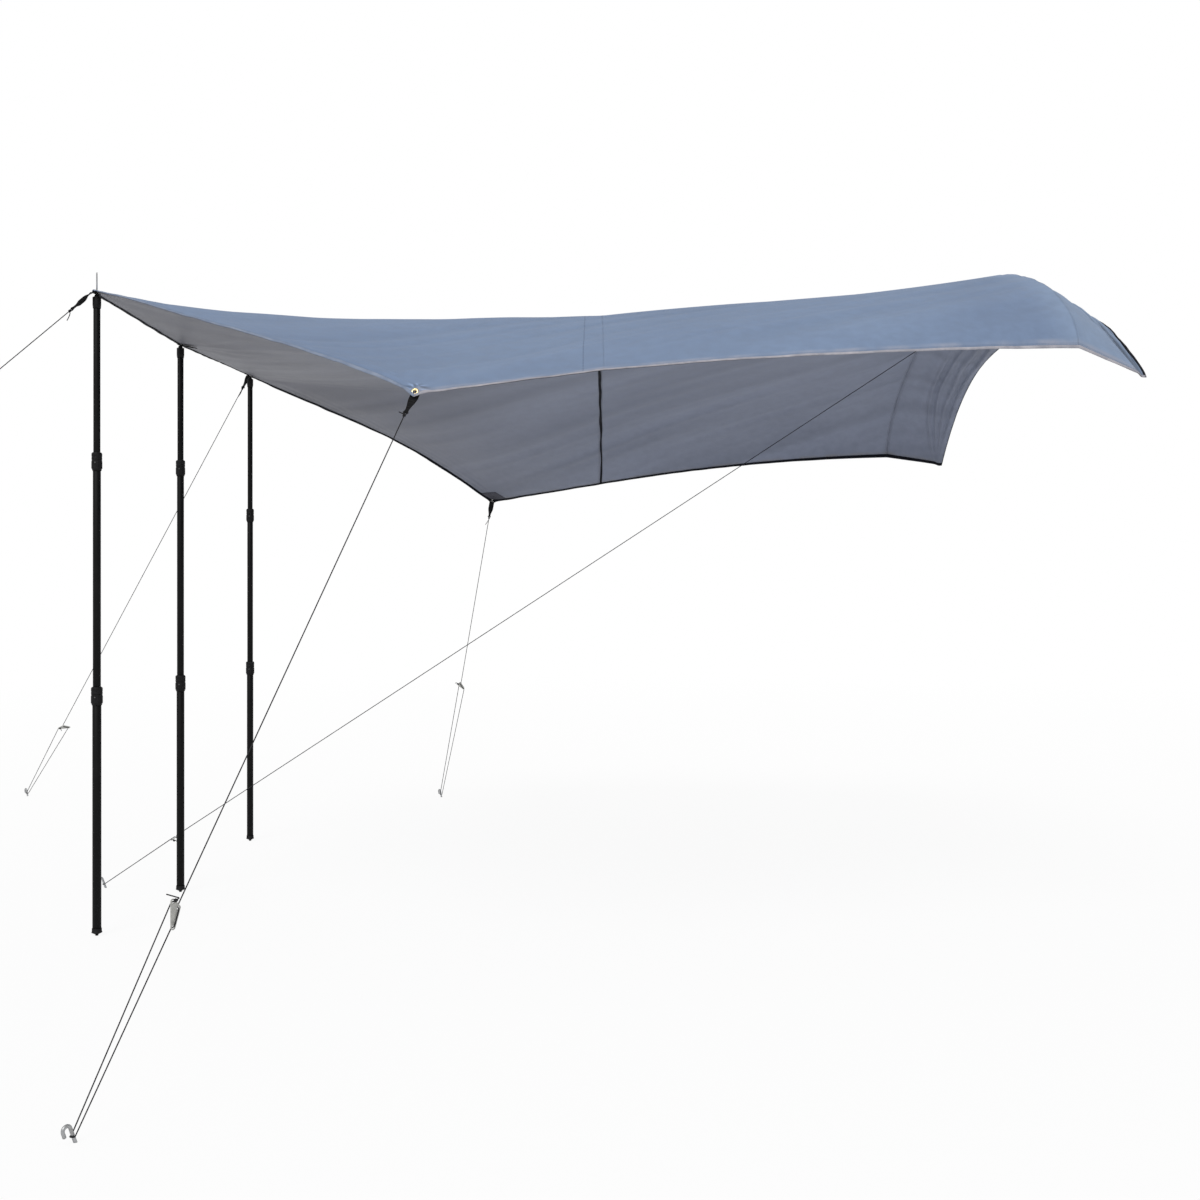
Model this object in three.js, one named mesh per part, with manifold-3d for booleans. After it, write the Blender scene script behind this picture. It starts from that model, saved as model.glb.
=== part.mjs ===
// A stretched sun canopy: a cloth that lies over an arch at its rear and stands on three
// telescopic poles at its front edge, with webbing loops, guy lines, runners and pegs.
// Millimetres, +Z up. The origin is the underside of the cloth at the crown of the arch. +X runs
// to the rear, past the arch, and +Y to the far side, away from the near hem.

import * as THREE from "three";
import { mergeVertices } from "three/addons/utils/BufferGeometryUtils.js";
import Module from "manifold-3d";

const wasm = await Module();
wasm.setup();

// Driving dimensions. Heights are above the ground.
const CROWN_HEIGHT = 2290;
const ARCH_NEAR_REACH = 1371;
const ARCH_FAR_REACH = 1371;
const ARCH_NEAR_HEM_HEIGHT = 1834;
const ARCH_FAR_HEM_HEIGHT = 1786;
const HOOD_LENGTH = 241;
const HOOD_NEAR_REACH = 1261;
const HOOD_FAR_REACH = 1261;
const HOOD_CROWN_DROP = 160;
const HOOD_NEAR_HEM_HEIGHT = 1768;
const HOOD_FAR_HEM_HEIGHT = 1738;
const SEAM_NEAR_X = -1390;
const SEAM_FAR_X = -1400;
const SEAM_NEAR_REACH = 1659;
const SEAM_FAR_REACH = 1705;
const SEAM_CROWN_HEIGHT = 2135;
const SEAM_NEAR_HEM_HEIGHT = 1723;
const SEAM_FAR_HEM_HEIGHT = 1680;

// The five corners of the front edge: where the cloth ends.
const NEAR_X = -1892;
const NEAR_Y = -1775;
const NEAR_HEIGHT = 1640;
const POLE_1_X = -3069;
const POLE_1_Y = -894;
const POLE_1_HEIGHT = 2108;
const POLE_2_X = -2985;
const POLE_2_Y = -212;
const POLE_2_HEIGHT = 2056;
const POLE_3_X = -3009;
const POLE_3_Y = 893;
const POLE_3_HEIGHT = 2118;
const FAR_X = -1967;
const FAR_Y = 1853;
const FAR_HEIGHT = 1598;

// Cloth, tape, patches and eyelets.
const CLOTH = 1;
const TAPE = 1;
const TAPE_WIDTH = 16;
const SEAM_TAPE_WIDTH = 20;
const PATCH_WIDTH = 92;
const GAP = 0.3;
const NEAR_HEM_BOW = 14;
const FAR_HEM_BOW = 27;
const NEAR_EDGE_BOW = 36;
const FAR_EDGE_BOW = 56;
const FRONT_SAG = 56;
const REAR_SAG = 16;
const VALLEY_DEPTH = 14;
const HOOD_FOLD_DEPTH = 6;
const CORNER_FLAT = 26;
const EYELET_INSET = 16;
const POLE_EYELET_INSET = 14;
const EYELET_RADIUS = 10;
const EYELET_BORE = 5.2;
const EYELET_BARREL = 6.4;
const EYELET_FLANGE = 1.2;
const EYELET_ROLL = 0.7;
const EYELET_SLACK = 0.4;

// Webbing loops.
const WEBBING = 2.5;
const WEBBING_WIDTH = 25;
const WEBBING_NECK = 11;
const WEBBING_HOLE = 6.2;
const WEBBING_BACK = 9;
const WEBBING_FLAT = 14;
const LOOP_1_LENGTH = 96;
const LOOP_3_LENGTH = 66;
const NEAR_LOOP_LENGTH = 56;
const FAR_LOOP_LENGTH = 74;
const TAB_2_LENGTH = 50;
const CENTRE_TAB_LENGTH = 60;

// Poles: three steel tubes each, thinnest on top.
const TUBE_WALL = 1;
const TUBE_CLEARANCE = 0.5;
const UPPER_TUBE = 22;
const UPPER_TUBE_LENGTH = 850;
const MIDDLE_TUBE_LENGTH = 860;
const LOWER_TUBE_LENGTH = 790;
const LOWER_CLAMP_HEIGHT = 812;
const POLE_1_CLAMP_HEIGHT = 1578;
const POLE_2_CLAMP_HEIGHT = 1618;
const POLE_3_CLAMP_HEIGHT = 1504;
const NOSE_RADIUS = 8;
const CAP_RADIUS = 13.5;
const CAP_WALL = 1.2;
const CAP_LENGTH = 37;
const CAP_STRAIGHT = 26;
const CAP_FLOOR = 6;
const CAP_ROUND = 1.2;
const CAP_SHOULDER = 2;
const SPIKE_RADIUS = 2.25;
const SPIKE_RISE = 65;
const SPIKE_TIP = 5;
const CLAMP_WALL = 4.2;
const CLAMP_LENGTH = 60;
const CLAMP_RING = 24;
const CLAMP_CHAMFER = 3;
const CLAMP_SKIRT = 6;
const SLEEVE_RIB = 0.9;
const SLEEVE_TAPER = 7;
const FOOT_LENGTH = 24;
const FOOT_RADIUS = 17;
const FOOT_RIM = 4;
const FOOT_CONE = 8;
const FOOT_NIPPLE = 5;
const FOOT_NIPPLE_LENGTH = 4;
const FOOT_CUP = 10;

// Guy lines, runners and pegs. Peg places are on the ground.
const LINE_RADIUS = 1.5;
const LOOP_KNOT_RADIUS = 3.6;
const KNOT_RADIUS = 4.6;
const LINE_BEND = 3.5;
const LINE_SLACK = 1.2;
const RUNNER_THICKNESS = 3;
const RUNNER_HALF_LENGTH = 28;
const RUNNER_DEPTH = 14;
const RUNNER_APEX_SHIFT = 12;
const RUNNER_LOBE = 7.5;
const RUNNER_HOLE = 3.9;
const PEG_RADIUS = 4;
const PEG_DEPTH = 190;
const PEG_RISE = 34;
const PEG_HOOK = 9;
const PEG_HOOK_DROP = 12;
const PEG_POINT = 22;
const PEG_LOOP_RISE = 14;
const PEG_1_X = -4681;
const PEG_1_Y = -2302;
const PEG_3_X = -4576;
const PEG_3_Y = 2302;
const NEAR_PEG_X = -2468;
const NEAR_PEG_Y = -2623;
const FAR_PEG_X = -2277;
const FAR_PEG_Y = 2263;
const CENTRE_PEG_X = -3284;
const CENTRE_PEG_Y = -139;
const RUNNER_1_REACH = 566;
const RUNNER_3_REACH = 566;
const NEAR_RUNNER_REACH = 491;
const FAR_RUNNER_REACH = 657;
const CENTRE_RUNNER_REACH = 324;

// How fine the rounds and the cloth are.
const ROUND = 16;
const SMALL_ROUND = 12;
const LINE_SIDES = 8;
const BORE_OVERRUN = 20;
const SQUARE = Math.PI / 2;

const up = new THREE.Vector3(0, 0, 1);

function at(x, y, height) {
  return new THREE.Vector3(x, y, height - CROWN_HEIGHT);
}

function mix(a, b, share) {
  return a.clone().lerp(b, share);
}

function material(color, roughness, metalness) {
  return new THREE.MeshStandardMaterial({ color, roughness, metalness });
}

const OUTER_CLOTH = material(0x7a8cab, 0.85, 0);
const DARK_WEBBING = material(0x17181b, 0.8, 0);
const BRASS = material(0xc8b070, 0.3, 0.9);
const BLACK_STEEL = material(0x141516, 0.45, 0.6);
const BLACK_PLASTIC = material(0x191a1b, 0.6, 0);
const GREY_PLASTIC = material(0xa9aaa2, 0.55, 0);
const LINE_CORD = material(0x6a6a66, 0.9, 0);
const PEG_STEEL = material(0x9aa0a4, 0.35, 0.9);

// A closed mesh as a solid with its faces out, for cutting and joining.
function solid(geometry) {
  const bare = geometry.index ? geometry.toNonIndexed() : geometry.clone();
  bare.deleteAttribute("normal");
  bare.deleteAttribute("uv");
  const merged = mergeVertices(bare);
  const vertProperties = new Float32Array(merged.attributes.position.array);
  const triVerts = new Uint32Array(merged.index.array);
  const made = new wasm.Manifold(new wasm.Mesh({ numProp: 3, vertProperties, triVerts }));
  if (made.volume() > 0) return made;
  const turned = triVerts.map((v, i) => triVerts[i + [0, 1, -1][i % 3]]);
  return new wasm.Manifold(new wasm.Mesh({ numProp: 3, vertProperties, triVerts: turned }));
}

function geometryOf(made) {
  const mesh = made.getMesh();
  const geometry = new THREE.BufferGeometry();
  geometry.setAttribute("position", new THREE.BufferAttribute(mesh.vertProperties, 3));
  geometry.setIndex(new THREE.BufferAttribute(mesh.triVerts, 1));
  geometry.computeVertexNormals();
  return geometry;
}

function piece(name, made, look) {
  const mesh = new THREE.Mesh(geometryOf(made), look);
  mesh.name = name;
  return mesh;
}

// A profile of [radius, height] points turned about the Z axis.
function revolved(profile, segments) {
  const points = profile.map(([radius, height]) => new THREE.Vector2(radius, height));
  return solid(new THREE.LatheGeometry(points, segments).rotateX(SQUARE));
}

// A ring profile closes on itself.
function ring(profile, segments) {
  return revolved([...profile, profile[0]], segments);
}

// A rod of one radius between two points, for bores.
function rod(from, to, radius, segments) {
  const geometry = new THREE.CylinderGeometry(radius, radius, from.distanceTo(to), segments);
  const turn = new THREE.Quaternion().setFromUnitVectors(
    new THREE.Vector3(0, 1, 0),
    to.clone().sub(from).normalize(),
  );
  const middle = mix(from, to, 1 / 2);
  return solid(geometry.applyQuaternion(turn).translate(middle.x, middle.y, middle.z));
}

// A knot. It is turned a little so that none of its edges lies along a cord's.
const KNOT_TURN = 0.3;

function lump(centre, radius) {
  const geometry = new THREE.IcosahedronGeometry(radius).rotateX(KNOT_TURN).rotateZ(KNOT_TURN);
  return solid(geometry.translate(centre.x, centre.y, centre.z));
}

// A path through given points, one step from each to the next.
class Route extends THREE.Curve {
  constructor(points) {
    super();
    this.points = points;
  }
  getPoint(t) {
    const last = this.points.length - 1;
    return this.points[Math.round(t * last)].clone();
  }
  getPointAt(t) {
    return this.getPoint(t);
  }
  getTangentAt(t) {
    const last = this.points.length - 1;
    const here = Math.round(t * last);
    const before = this.points[Math.max(here - 1, 0)];
    const after = this.points[Math.min(here + 1, last)];
    const back = this.points[here].clone().sub(before).normalize();
    return after.clone().sub(this.points[here]).normalize().add(back).normalize();
  }
}

// The same corners with each inner one rounded off, over less than half of each side.
const BEND_SHARE = 0.45;

function rounded(corners, bend) {
  const points = [corners[0]];
  corners.slice(1, -1).forEach((corner, k) => {
    const ways = [corners[k], corners[k + 2]].map((end) => end.clone().sub(corner));
    const cut = Math.min(bend, ...ways.map((way) => way.length() * BEND_SHARE));
    const [a, b] = ways.map((way) => corner.clone().addScaledVector(way.normalize(), cut));
    points.push(a, mix(mix(a, b, 1 / 2), corner, 1 / 2), b);
  });
  return [...points, corners[corners.length - 1]];
}

function tube(points, radius, sides) {
  const section = new THREE.Shape(
    Array.from({ length: sides }, (_, k) => {
      const turn = (2 * Math.PI * k) / sides;
      return new THREE.Vector2(radius * Math.cos(turn), radius * Math.sin(turn));
    }),
  );
  const options = { steps: points.length - 1, bevelEnabled: false, extrudePath: new Route(points) };
  return solid(new THREE.ExtrudeGeometry(section, options));
}

// The cloth is one surface over u and v. u is 0 at the front edge, 1 at the cross seam, 2 at the
// arch and 3 at the hood's rear edge. v is 0 at the near hem and 1 at the far hem.

const CORNERS = [
  at(NEAR_X, NEAR_Y, NEAR_HEIGHT),
  at(POLE_1_X, POLE_1_Y, POLE_1_HEIGHT),
  at(POLE_2_X, POLE_2_Y, POLE_2_HEIGHT),
  at(POLE_3_X, POLE_3_Y, POLE_3_HEIGHT),
  at(FAR_X, FAR_Y, FAR_HEIGHT),
];

// The share of the front edge's length at each corner.
function cornerShares() {
  const lengths = CORNERS.slice(1).map((corner, k) => corner.distanceTo(CORNERS[k]));
  const whole = lengths.reduce((sum, length) => sum + length);
  let sum = 0;
  return [0, ...lengths.map((length) => (sum += length) / whole)];
}

const CORNER_SHARES = cornerShares();

// The front edge runs from corner to corner. Its two sides bow up, the near one most of all by
// the near corner.
const NEAR_BOW_POWER = 9;
const FAR_BOW_POWER = 1.3;

function cornerBefore(v) {
  return CORNER_SHARES.slice(1, -1).filter((share) => v > share).length;
}

function frontEdge(v) {
  const k = cornerBefore(v);
  const [low, high] = [CORNER_SHARES[k], CORNER_SHARES[k + 1]];
  const share = (v - low) / (high - low);
  const point = mix(CORNERS[k], CORNERS[k + 1], share);
  const left = 1 - share;
  if (k === 0) point.z += NEAR_EDGE_BOW * Math.sqrt(left) * (1 - left ** NEAR_BOW_POWER);
  if (k === 3) point.z += FAR_EDGE_BOW * Math.sin(Math.PI * share ** FAR_BOW_POWER);
  return point;
}

// Cross sections through the cloth, by arc length from the near hem to the far hem.
class Section extends THREE.Curve {
  constructor(near, far, crown, power) {
    super();
    Object.assign(this, { near, far, crown, power, arcLengthDivisions: 400 });
  }
  getPoint(t) {
    const turn = (t - 1 / 2) * Math.PI;
    const hem = t < 1 / 2 ? this.near : this.far;
    const [outPower, risePower] = this.power;
    const out = Math.abs(Math.sin(turn)) ** outPower;
    const rise = (1 - out ** (1 / risePower[0])) ** risePower[1];
    return new THREE.Vector3(
      this.crown.x + (hem.x - this.crown.x) * out,
      hem.y * out,
      hem.z + (this.crown.z - hem.z) * rise,
    );
  }
}

const ROUND_POWER = 1.74;
const archPower = [2 / ROUND_POWER, [1 / ROUND_POWER, 1 / ROUND_POWER]];
const seamPower = [1, [1 / 2, 1]];
const hoodPower = [1, [1 / 3, 1]];
const SEAM_MIDDLE_X = (SEAM_NEAR_X + SEAM_FAR_X) / 2;

const SECTIONS = [
  new Section(
    at(SEAM_NEAR_X, -SEAM_NEAR_REACH, SEAM_NEAR_HEM_HEIGHT),
    at(SEAM_FAR_X, SEAM_FAR_REACH, SEAM_FAR_HEM_HEIGHT),
    at(SEAM_MIDDLE_X, 0, SEAM_CROWN_HEIGHT),
    seamPower,
  ),
  new Section(
    at(0, -ARCH_NEAR_REACH, ARCH_NEAR_HEM_HEIGHT),
    at(0, ARCH_FAR_REACH, ARCH_FAR_HEM_HEIGHT),
    at(0, 0, CROWN_HEIGHT + CLOTH / 2),
    archPower,
  ),
  new Section(
    at(HOOD_LENGTH, -HOOD_NEAR_REACH, HOOD_NEAR_HEM_HEIGHT),
    at(HOOD_LENGTH, HOOD_FAR_REACH, HOOD_FAR_HEM_HEIGHT),
    at(HOOD_LENGTH, 0, CROWN_HEIGHT - HOOD_CROWN_DROP),
    hoodPower,
  ),
];

function row(k, v) {
  const inside = Math.min(Math.max(v, 0), 1);
  return k === 0 ? frontEdge(inside) : SECTIONS[k - 1].getPointAt(inside);
}

// The pull of the corners leaves a shallow valley between each two of them, which dies away at
// the seam. Down both sides of the hood, folds run along its rear edge.
const HOOD_FOLD_COUNT = 3;

function fold(u, v) {
  if (u < 1) {
    const k = cornerBefore(v);
    const share = (v - CORNER_SHARES[k]) / (CORNER_SHARES[k + 1] - CORNER_SHARES[k]);
    return -VALLEY_DEPTH * Math.sin(Math.PI * u) * Math.sin(Math.PI * share) ** 2;
  }
  if (u < 2) return 0;
  const wave = Math.sin(Math.PI * (u - 2)) * Math.sin(2 * Math.PI * HOOD_FOLD_COUNT * (u - 2));
  return -HOOD_FOLD_DEPTH * wave * Math.sin(2 * Math.PI * v) ** 2;
}

// How much a hem's bow lifts the cloth: all of it at the hem, none of it near the ridge.
const HEM_POWER = 4;

function hemBow(u, v) {
  if (u < 1 || u > 2) return 0;
  const span = 4 * (u - 1) * (2 - u);
  const out = Math.abs(2 * v - 1) ** HEM_POWER;
  return span * out * (v < 1 / 2 ? NEAR_HEM_BOW : FAR_HEM_BOW);
}

// Between the hems the cloth sags, behind the front edge and before the arch.
const FRONT_SAG_POWER = 0.8;
const REAR_SAG_POWER = 1.8;

function sag(u, v) {
  const inside = 1 - Math.abs(2 * v - 1) ** HEM_POWER;
  if (u < 1) return inside * FRONT_SAG * Math.sin(Math.PI * u ** FRONT_SAG_POWER);
  if (u < 2) return inside * REAR_SAG * Math.sin(Math.PI * (u - 1) ** REAR_SAG_POWER);
  return 0;
}

function clothPoint(u, v) {
  const k = Math.min(Math.floor(u), 2);
  const point = mix(row(k, v), row(k + 1, v), u - k);
  point.z += hemBow(u, v) + fold(u, v) - sag(u, v);
  return point;
}

const NUDGE = 0.002;

function clothNormal(u, v) {
  const alongU = clothPoint(Math.min(u + NUDGE, 3), v).sub(clothPoint(Math.max(u - NUDGE, 0), v));
  const alongV = clothPoint(u, Math.min(v + NUDGE, 1)).sub(clothPoint(u, Math.max(v - NUDGE, 0)));
  return alongU.cross(alongV).normalize();
}

// Widths in millimetres as shares of u and v.
function uShare(width, k, v) {
  return width / row(k, v).distanceTo(row(k + 1, v));
}

function rowLength(u) {
  const lengths = [0, 1, 2, 3].map((k) => {
    if (k > 0) return SECTIONS[k - 1].getLength();
    return CORNERS.slice(1).reduce((sum, corner, i) => sum + corner.distanceTo(CORNERS[i]), 0);
  });
  const k = Math.min(Math.floor(u), 2);
  return lengths[k] + (lengths[k + 1] - lengths[k]) * (u - k);
}

function evenly(from, to, count) {
  return Array.from({ length: count + 1 }, (_, k) => from + ((to - from) * k) / count);
}

// Lines of the cloth's grid. A u line is a function of v and a v line is a function of u.
const PANEL_CELLS = 9;
const HOOD_CELLS = 10;
const SIDE_CELLS = 6;
const NEAR_MIDDLE_CELLS = 2;
const FAR_MIDDLE_CELLS = 4;

function uLines(k, startWidths, endWidths, cells) {
  const first = startWidths[startWidths.length - 1];
  const last = endWidths[0];
  const shares = evenly(0, 1, cells);
  const inner = shares.map((share) => (v) => {
    const from = k + uShare(first, k, v);
    const to = k + 1 - uShare(last, k, v);
    return from + (to - from) * share;
  });
  const before = startWidths.slice(0, -1).map((width) => (v) => k + uShare(width, k, v));
  const after = endWidths.slice(1).map((width) => (v) => k + 1 - uShare(width, k, v));
  return [...before, ...inner, ...after];
}

const FRONT_U = uLines(0, [0, TAPE_WIDTH], [SEAM_TAPE_WIDTH / 2, GAP / 2], PANEL_CELLS);
const REAR_U = uLines(1, [GAP / 2, SEAM_TAPE_WIDTH / 2], [GAP / 2], PANEL_CELLS);
const HOOD_U = uLines(2, [GAP / 2], [0], HOOD_CELLS);

function nearLine(width) {
  return (u) => width / rowLength(u);
}

function farLine(width) {
  return (u) => 1 - width / rowLength(u);
}

// The cloth is flat over the width of each pole's corner, so no line runs through the corner.
const FLAT_SHARE = CORNER_FLAT / rowLength(0);

function vLines() {
  const between = (from, to, cells) =>
    evenly(0, 1, cells).map((share) => (u) => from(u) * (1 - share) + to(u) * share);
  const [, first, second, third] = CORNER_SHARES;
  const before = (share) => () => share - FLAT_SHARE;
  const after = (share) => () => share + FLAT_SHARE;
  return [
    nearLine(0),
    nearLine(TAPE_WIDTH),
    ...between(nearLine(PATCH_WIDTH), before(first), SIDE_CELLS),
    ...between(after(first), before(second), NEAR_MIDDLE_CELLS),
    ...between(after(second), before(third), FAR_MIDDLE_CELLS),
    ...between(after(third), farLine(PATCH_WIDTH), SIDE_CELLS),
    farLine(TAPE_WIDTH),
    farLine(0),
  ];
}

const V_LINES = vLines();
const LAST_V = V_LINES.length - 1;

// A closed sheet over the grid cells that are kept, between two heights along the normal.
function sheet(us, vs, top, bottom, keeps = () => true) {
  const index = new Map();
  const positions = [];
  const triangles = [];
  const corner = (i, j, high) => {
    const key = [i, j, high].join();
    if (!index.has(key)) {
      const v = vs[j](Math.min(us[i](1 / 2), 3));
      const u = us[i](v);
      const point = clothPoint(u, v).addScaledVector(clothNormal(u, v), high ? top : bottom);
      index.set(key, positions.length / 3);
      positions.push(...point.toArray());
    }
    return index.get(key);
  };
  const kept = (i, j) =>
    i >= 0 && j >= 0 && i < us.length - 1 && j < vs.length - 1 && keeps(i, j);
  const quad = (a, b, c, d) => triangles.push(a, b, c, a, c, d);
  const wall = ([i, j], [k, l]) =>
    quad(corner(i, j, false), corner(k, l, false), corner(k, l, true), corner(i, j, true));
  for (let i = 0; i < us.length - 1; i++) {
    for (let j = 0; j < vs.length - 1; j++) {
      if (!kept(i, j)) continue;
      const round = [[i, j], [i + 1, j], [i + 1, j + 1], [i, j + 1]];
      quad(...round.map(([a, b]) => corner(a, b, true)));
      const [a, b, c, d] = round.map(([k, l]) => corner(k, l, false));
      triangles.push(a, c, b, a, d, c);
      if (!kept(i, j - 1)) wall([i, j], [i + 1, j]);
      if (!kept(i + 1, j)) wall([i + 1, j], [i + 1, j + 1]);
      if (!kept(i, j + 1)) wall([i + 1, j + 1], [i, j + 1]);
      if (!kept(i - 1, j)) wall([i, j + 1], [i, j]);
    }
  }
  const geometry = new THREE.BufferGeometry();
  geometry.setAttribute("position", new THREE.BufferAttribute(new Float32Array(positions), 3));
  geometry.setIndex(triangles);
  return solid(geometry);
}

// Eyelets stand inside their corners: those of the poles in the middle of the flat stretch.
function unit(from, to) {
  return to.clone().sub(from).normalize();
}

function poleEyelet(v) {
  const ends = [v - FLAT_SHARE, v + FLAT_SHARE].map((share) => clothPoint(0, share));
  const inward = unit(row(0, v), clothPoint(uShare(2 * POLE_EYELET_INSET, 0, v), v));
  const centre = mix(...ends, 1 / 2).addScaledVector(inward, POLE_EYELET_INSET);
  return { centre, normal: inward.cross(unit(...ends)).normalize() };
}

function hemEyelet(corner, v, neighbour) {
  const inward = unit(corner, row(1, v)).add(unit(corner, neighbour)).normalize();
  const centre = corner.clone().addScaledVector(inward, EYELET_INSET);
  return { centre, normal: clothNormal(0, v) };
}

function eyeletPlaces() {
  return [
    hemEyelet(CORNERS[0], 0, CORNERS[1]),
    ...CORNER_SHARES.slice(1, -1).map(poleEyelet),
    hemEyelet(CORNERS[4], 1, CORNERS[3]),
  ];
}

const EYELETS = eyeletPlaces();
const EYELET_TOP = CLOTH / 2 + EYELET_SLACK;
const EYELET_BOTTOM = -(CLOTH / 2 + GAP + TAPE + EYELET_SLACK);

function placed(made, { centre, normal }) {
  const turn = new THREE.Quaternion().setFromUnitVectors(up, normal);
  const matrix = new THREE.Matrix4().compose(centre, turn, new THREE.Vector3(1, 1, 1));
  return made.transform(matrix.elements);
}

// A spool with two rolled flanges. Grown by a clearance, it is what the cloth and tape leave free.
function eyelet(place, grown) {
  const [bore, barrel, rim] = [EYELET_BORE, EYELET_BARREL + grown, EYELET_RADIUS + grown];
  const [high, low] = [EYELET_TOP - grown, EYELET_BOTTOM + grown];
  const [above, below] = [EYELET_TOP + EYELET_FLANGE + grown, EYELET_BOTTOM - EYELET_FLANGE - grown];
  const profile = [
    [bore, below],
    [rim - EYELET_ROLL, below],
    [rim, low],
    [barrel, low],
    [barrel, high],
    [rim, high],
    [rim - EYELET_ROLL, above],
    [bore + EYELET_ROLL, above],
    [bore, above - EYELET_ROLL],
  ];
  return placed(ring(profile, SMALL_ROUND), place);
}

function withoutEyelets(made, numbers) {
  return numbers.reduce((left, k) => {
    const { centre, normal } = EYELETS[k];
    const reach = normal.clone().multiplyScalar(BORE_OVERRUN);
    const bore = rod(centre.clone().sub(reach), centre.clone().add(reach), EYELET_BARREL, SMALL_ROUND);
    return left.subtract(eyelet(EYELETS[k], GAP)).subtract(bore);
  }, made);
}

function clothPieces() {
  const [top, bottom] = [CLOTH / 2, -CLOTH / 2];
  const [tapeTop, tapeBottom] = [bottom - GAP, bottom - GAP - TAPE];
  const inset = (line, width) => (v) => line(v) + uShare(width, 0, v);
  const all = [0, 1, 2, 3, 4];
  const front = sheet(FRONT_U, V_LINES, top, bottom);
  const tapeU = [...FRONT_U, ...REAR_U, ...HOOD_U];
  const onTape = (i, j) => i === 0 || j === 0 || j === LAST_V - 1;
  const seamU = [FRONT_U.at(-2), FRONT_U.at(-1), REAR_U[0], REAR_U[1]];
  const seamV = [
    (u) => V_LINES[1](u) + nearLine(GAP)(u),
    ...V_LINES.slice(2, -2),
    (u) => V_LINES[LAST_V - 1](u) - nearLine(GAP)(u),
  ];
  const patchU = [inset(FRONT_U[1], GAP), ...FRONT_U.slice(2, 4)];
  const nearPatchV = [seamV[0], V_LINES[2]];
  const farPatchV = [V_LINES[LAST_V - 2], seamV.at(-1)];
  return [
    piece("front_panel", withoutEyelets(front, all), OUTER_CLOTH),
    piece("rear_panel", sheet(REAR_U, V_LINES, top, bottom), OUTER_CLOTH),
    piece("hood", sheet(HOOD_U, V_LINES, top, bottom), OUTER_CLOTH),
    piece(
      "edge_tape",
      withoutEyelets(sheet(tapeU, V_LINES, tapeTop, tapeBottom, onTape), all),
      DARK_WEBBING,
    ),
    piece("cross_seam_tape", sheet(seamU, seamV, tapeTop, tapeBottom), DARK_WEBBING),
    piece(
      "near_corner_patch",
      withoutEyelets(sheet(patchU, nearPatchV, tapeTop, tapeBottom), [0]),
      DARK_WEBBING,
    ),
    piece(
      "far_corner_patch",
      withoutEyelets(sheet(patchU, farPatchV, tapeTop, tapeBottom), [4]),
      DARK_WEBBING,
    ),
  ];
}

const CORNER_NAMES = ["near", "pole_1", "pole_2", "pole_3", "far"];

function eyeletPieces() {
  return EYELETS.map((place, k) => piece(CORNER_NAMES[k] + "_eyelet", eyelet(place, 0), BRASS));
}

// A band of webbing through stations of a centre line, each with its width.
function band(stations, across) {
  const positions = [];
  const triangles = [];
  stations.forEach(({ point, width }, k) => {
    const before = stations[Math.max(k - 1, 0)].point;
    const after = stations[Math.min(k + 1, stations.length - 1)].point;
    const along = after.clone().sub(before).normalize();
    const thick = along.clone().cross(across).normalize();
    for (const [side, level] of [[-1, -1], [1, -1], [1, 1], [-1, 1]]) {
      const corner = point
        .clone()
        .addScaledVector(across, (side * width) / 2)
        .addScaledVector(thick, (level * WEBBING) / 2);
      positions.push(...corner.toArray());
    }
    if (k === 0) return;
    const [low, high] = [4 * (k - 1), 4 * k];
    for (let a = 0; a < 4; a++) {
      const b = (a + 1) % 4;
      triangles.push(low + a, low + b, high + b, low + a, high + b, high + a);
    }
  });
  const end = 4 * (stations.length - 1);
  triangles.push(0, 2, 1, 0, 3, 2, end, end + 1, end + 2, end, end + 2, end + 3);
  const geometry = new THREE.BufferGeometry();
  geometry.setAttribute("position", new THREE.BufferAttribute(new Float32Array(positions), 3));
  geometry.setIndex(triangles);
  return solid(geometry);
}

const STRAP_LEVEL = EYELET_BOTTOM - EYELET_FLANGE - GAP - WEBBING / 2;
const STRAP_SHARES = [0.22, 0.62, 0.84, 1];
const TAB_SHARES = [0.5, 0.8, 1];

// A webbing loop under an eyelet, which leaves the cloth's corner along the pull of its line.
function loopAt({ centre, normal }, pull, length, rootWidth) {
  const out = pull.clone().addScaledVector(normal, -pull.dot(normal)).normalize();
  const across = normal.clone().cross(out).normalize();
  const root = centre.clone().addScaledVector(normal, STRAP_LEVEL);
  const bend = root.clone().addScaledVector(out, WEBBING_FLAT);
  const run = (share) => bend.clone().addScaledVector(pull, length * share);
  const widths = [WEBBING_WIDTH, WEBBING_WIDTH, WEBBING_NECK, WEBBING_NECK];
  const stations = [
    { point: root.clone().addScaledVector(out, -WEBBING_BACK), width: rootWidth },
    { point: bend, width: rootWidth },
    ...STRAP_SHARES.map((share, k) => ({ point: run(share), width: widths[k] })),
  ];
  const reach = normal.clone().multiplyScalar(BORE_OVERRUN);
  const hole = rod(centre.clone().sub(reach), centre.clone().add(reach), WEBBING_HOLE, SMALL_ROUND);
  return { made: band(stations, across).subtract(hole), end: run(1) };
}

// Where each guy line starts, which way it pulls and where it is pegged. A runner's bar stands
// along the given way as far as the line's own direction allows, and turn is the side of the peg,
// 1 or -1, to which the strand from the runner's second hole runs.
const level = (from, to) => new THREE.Vector3(to.y - from.y, from.x - to.x, 0).normalize();

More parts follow.
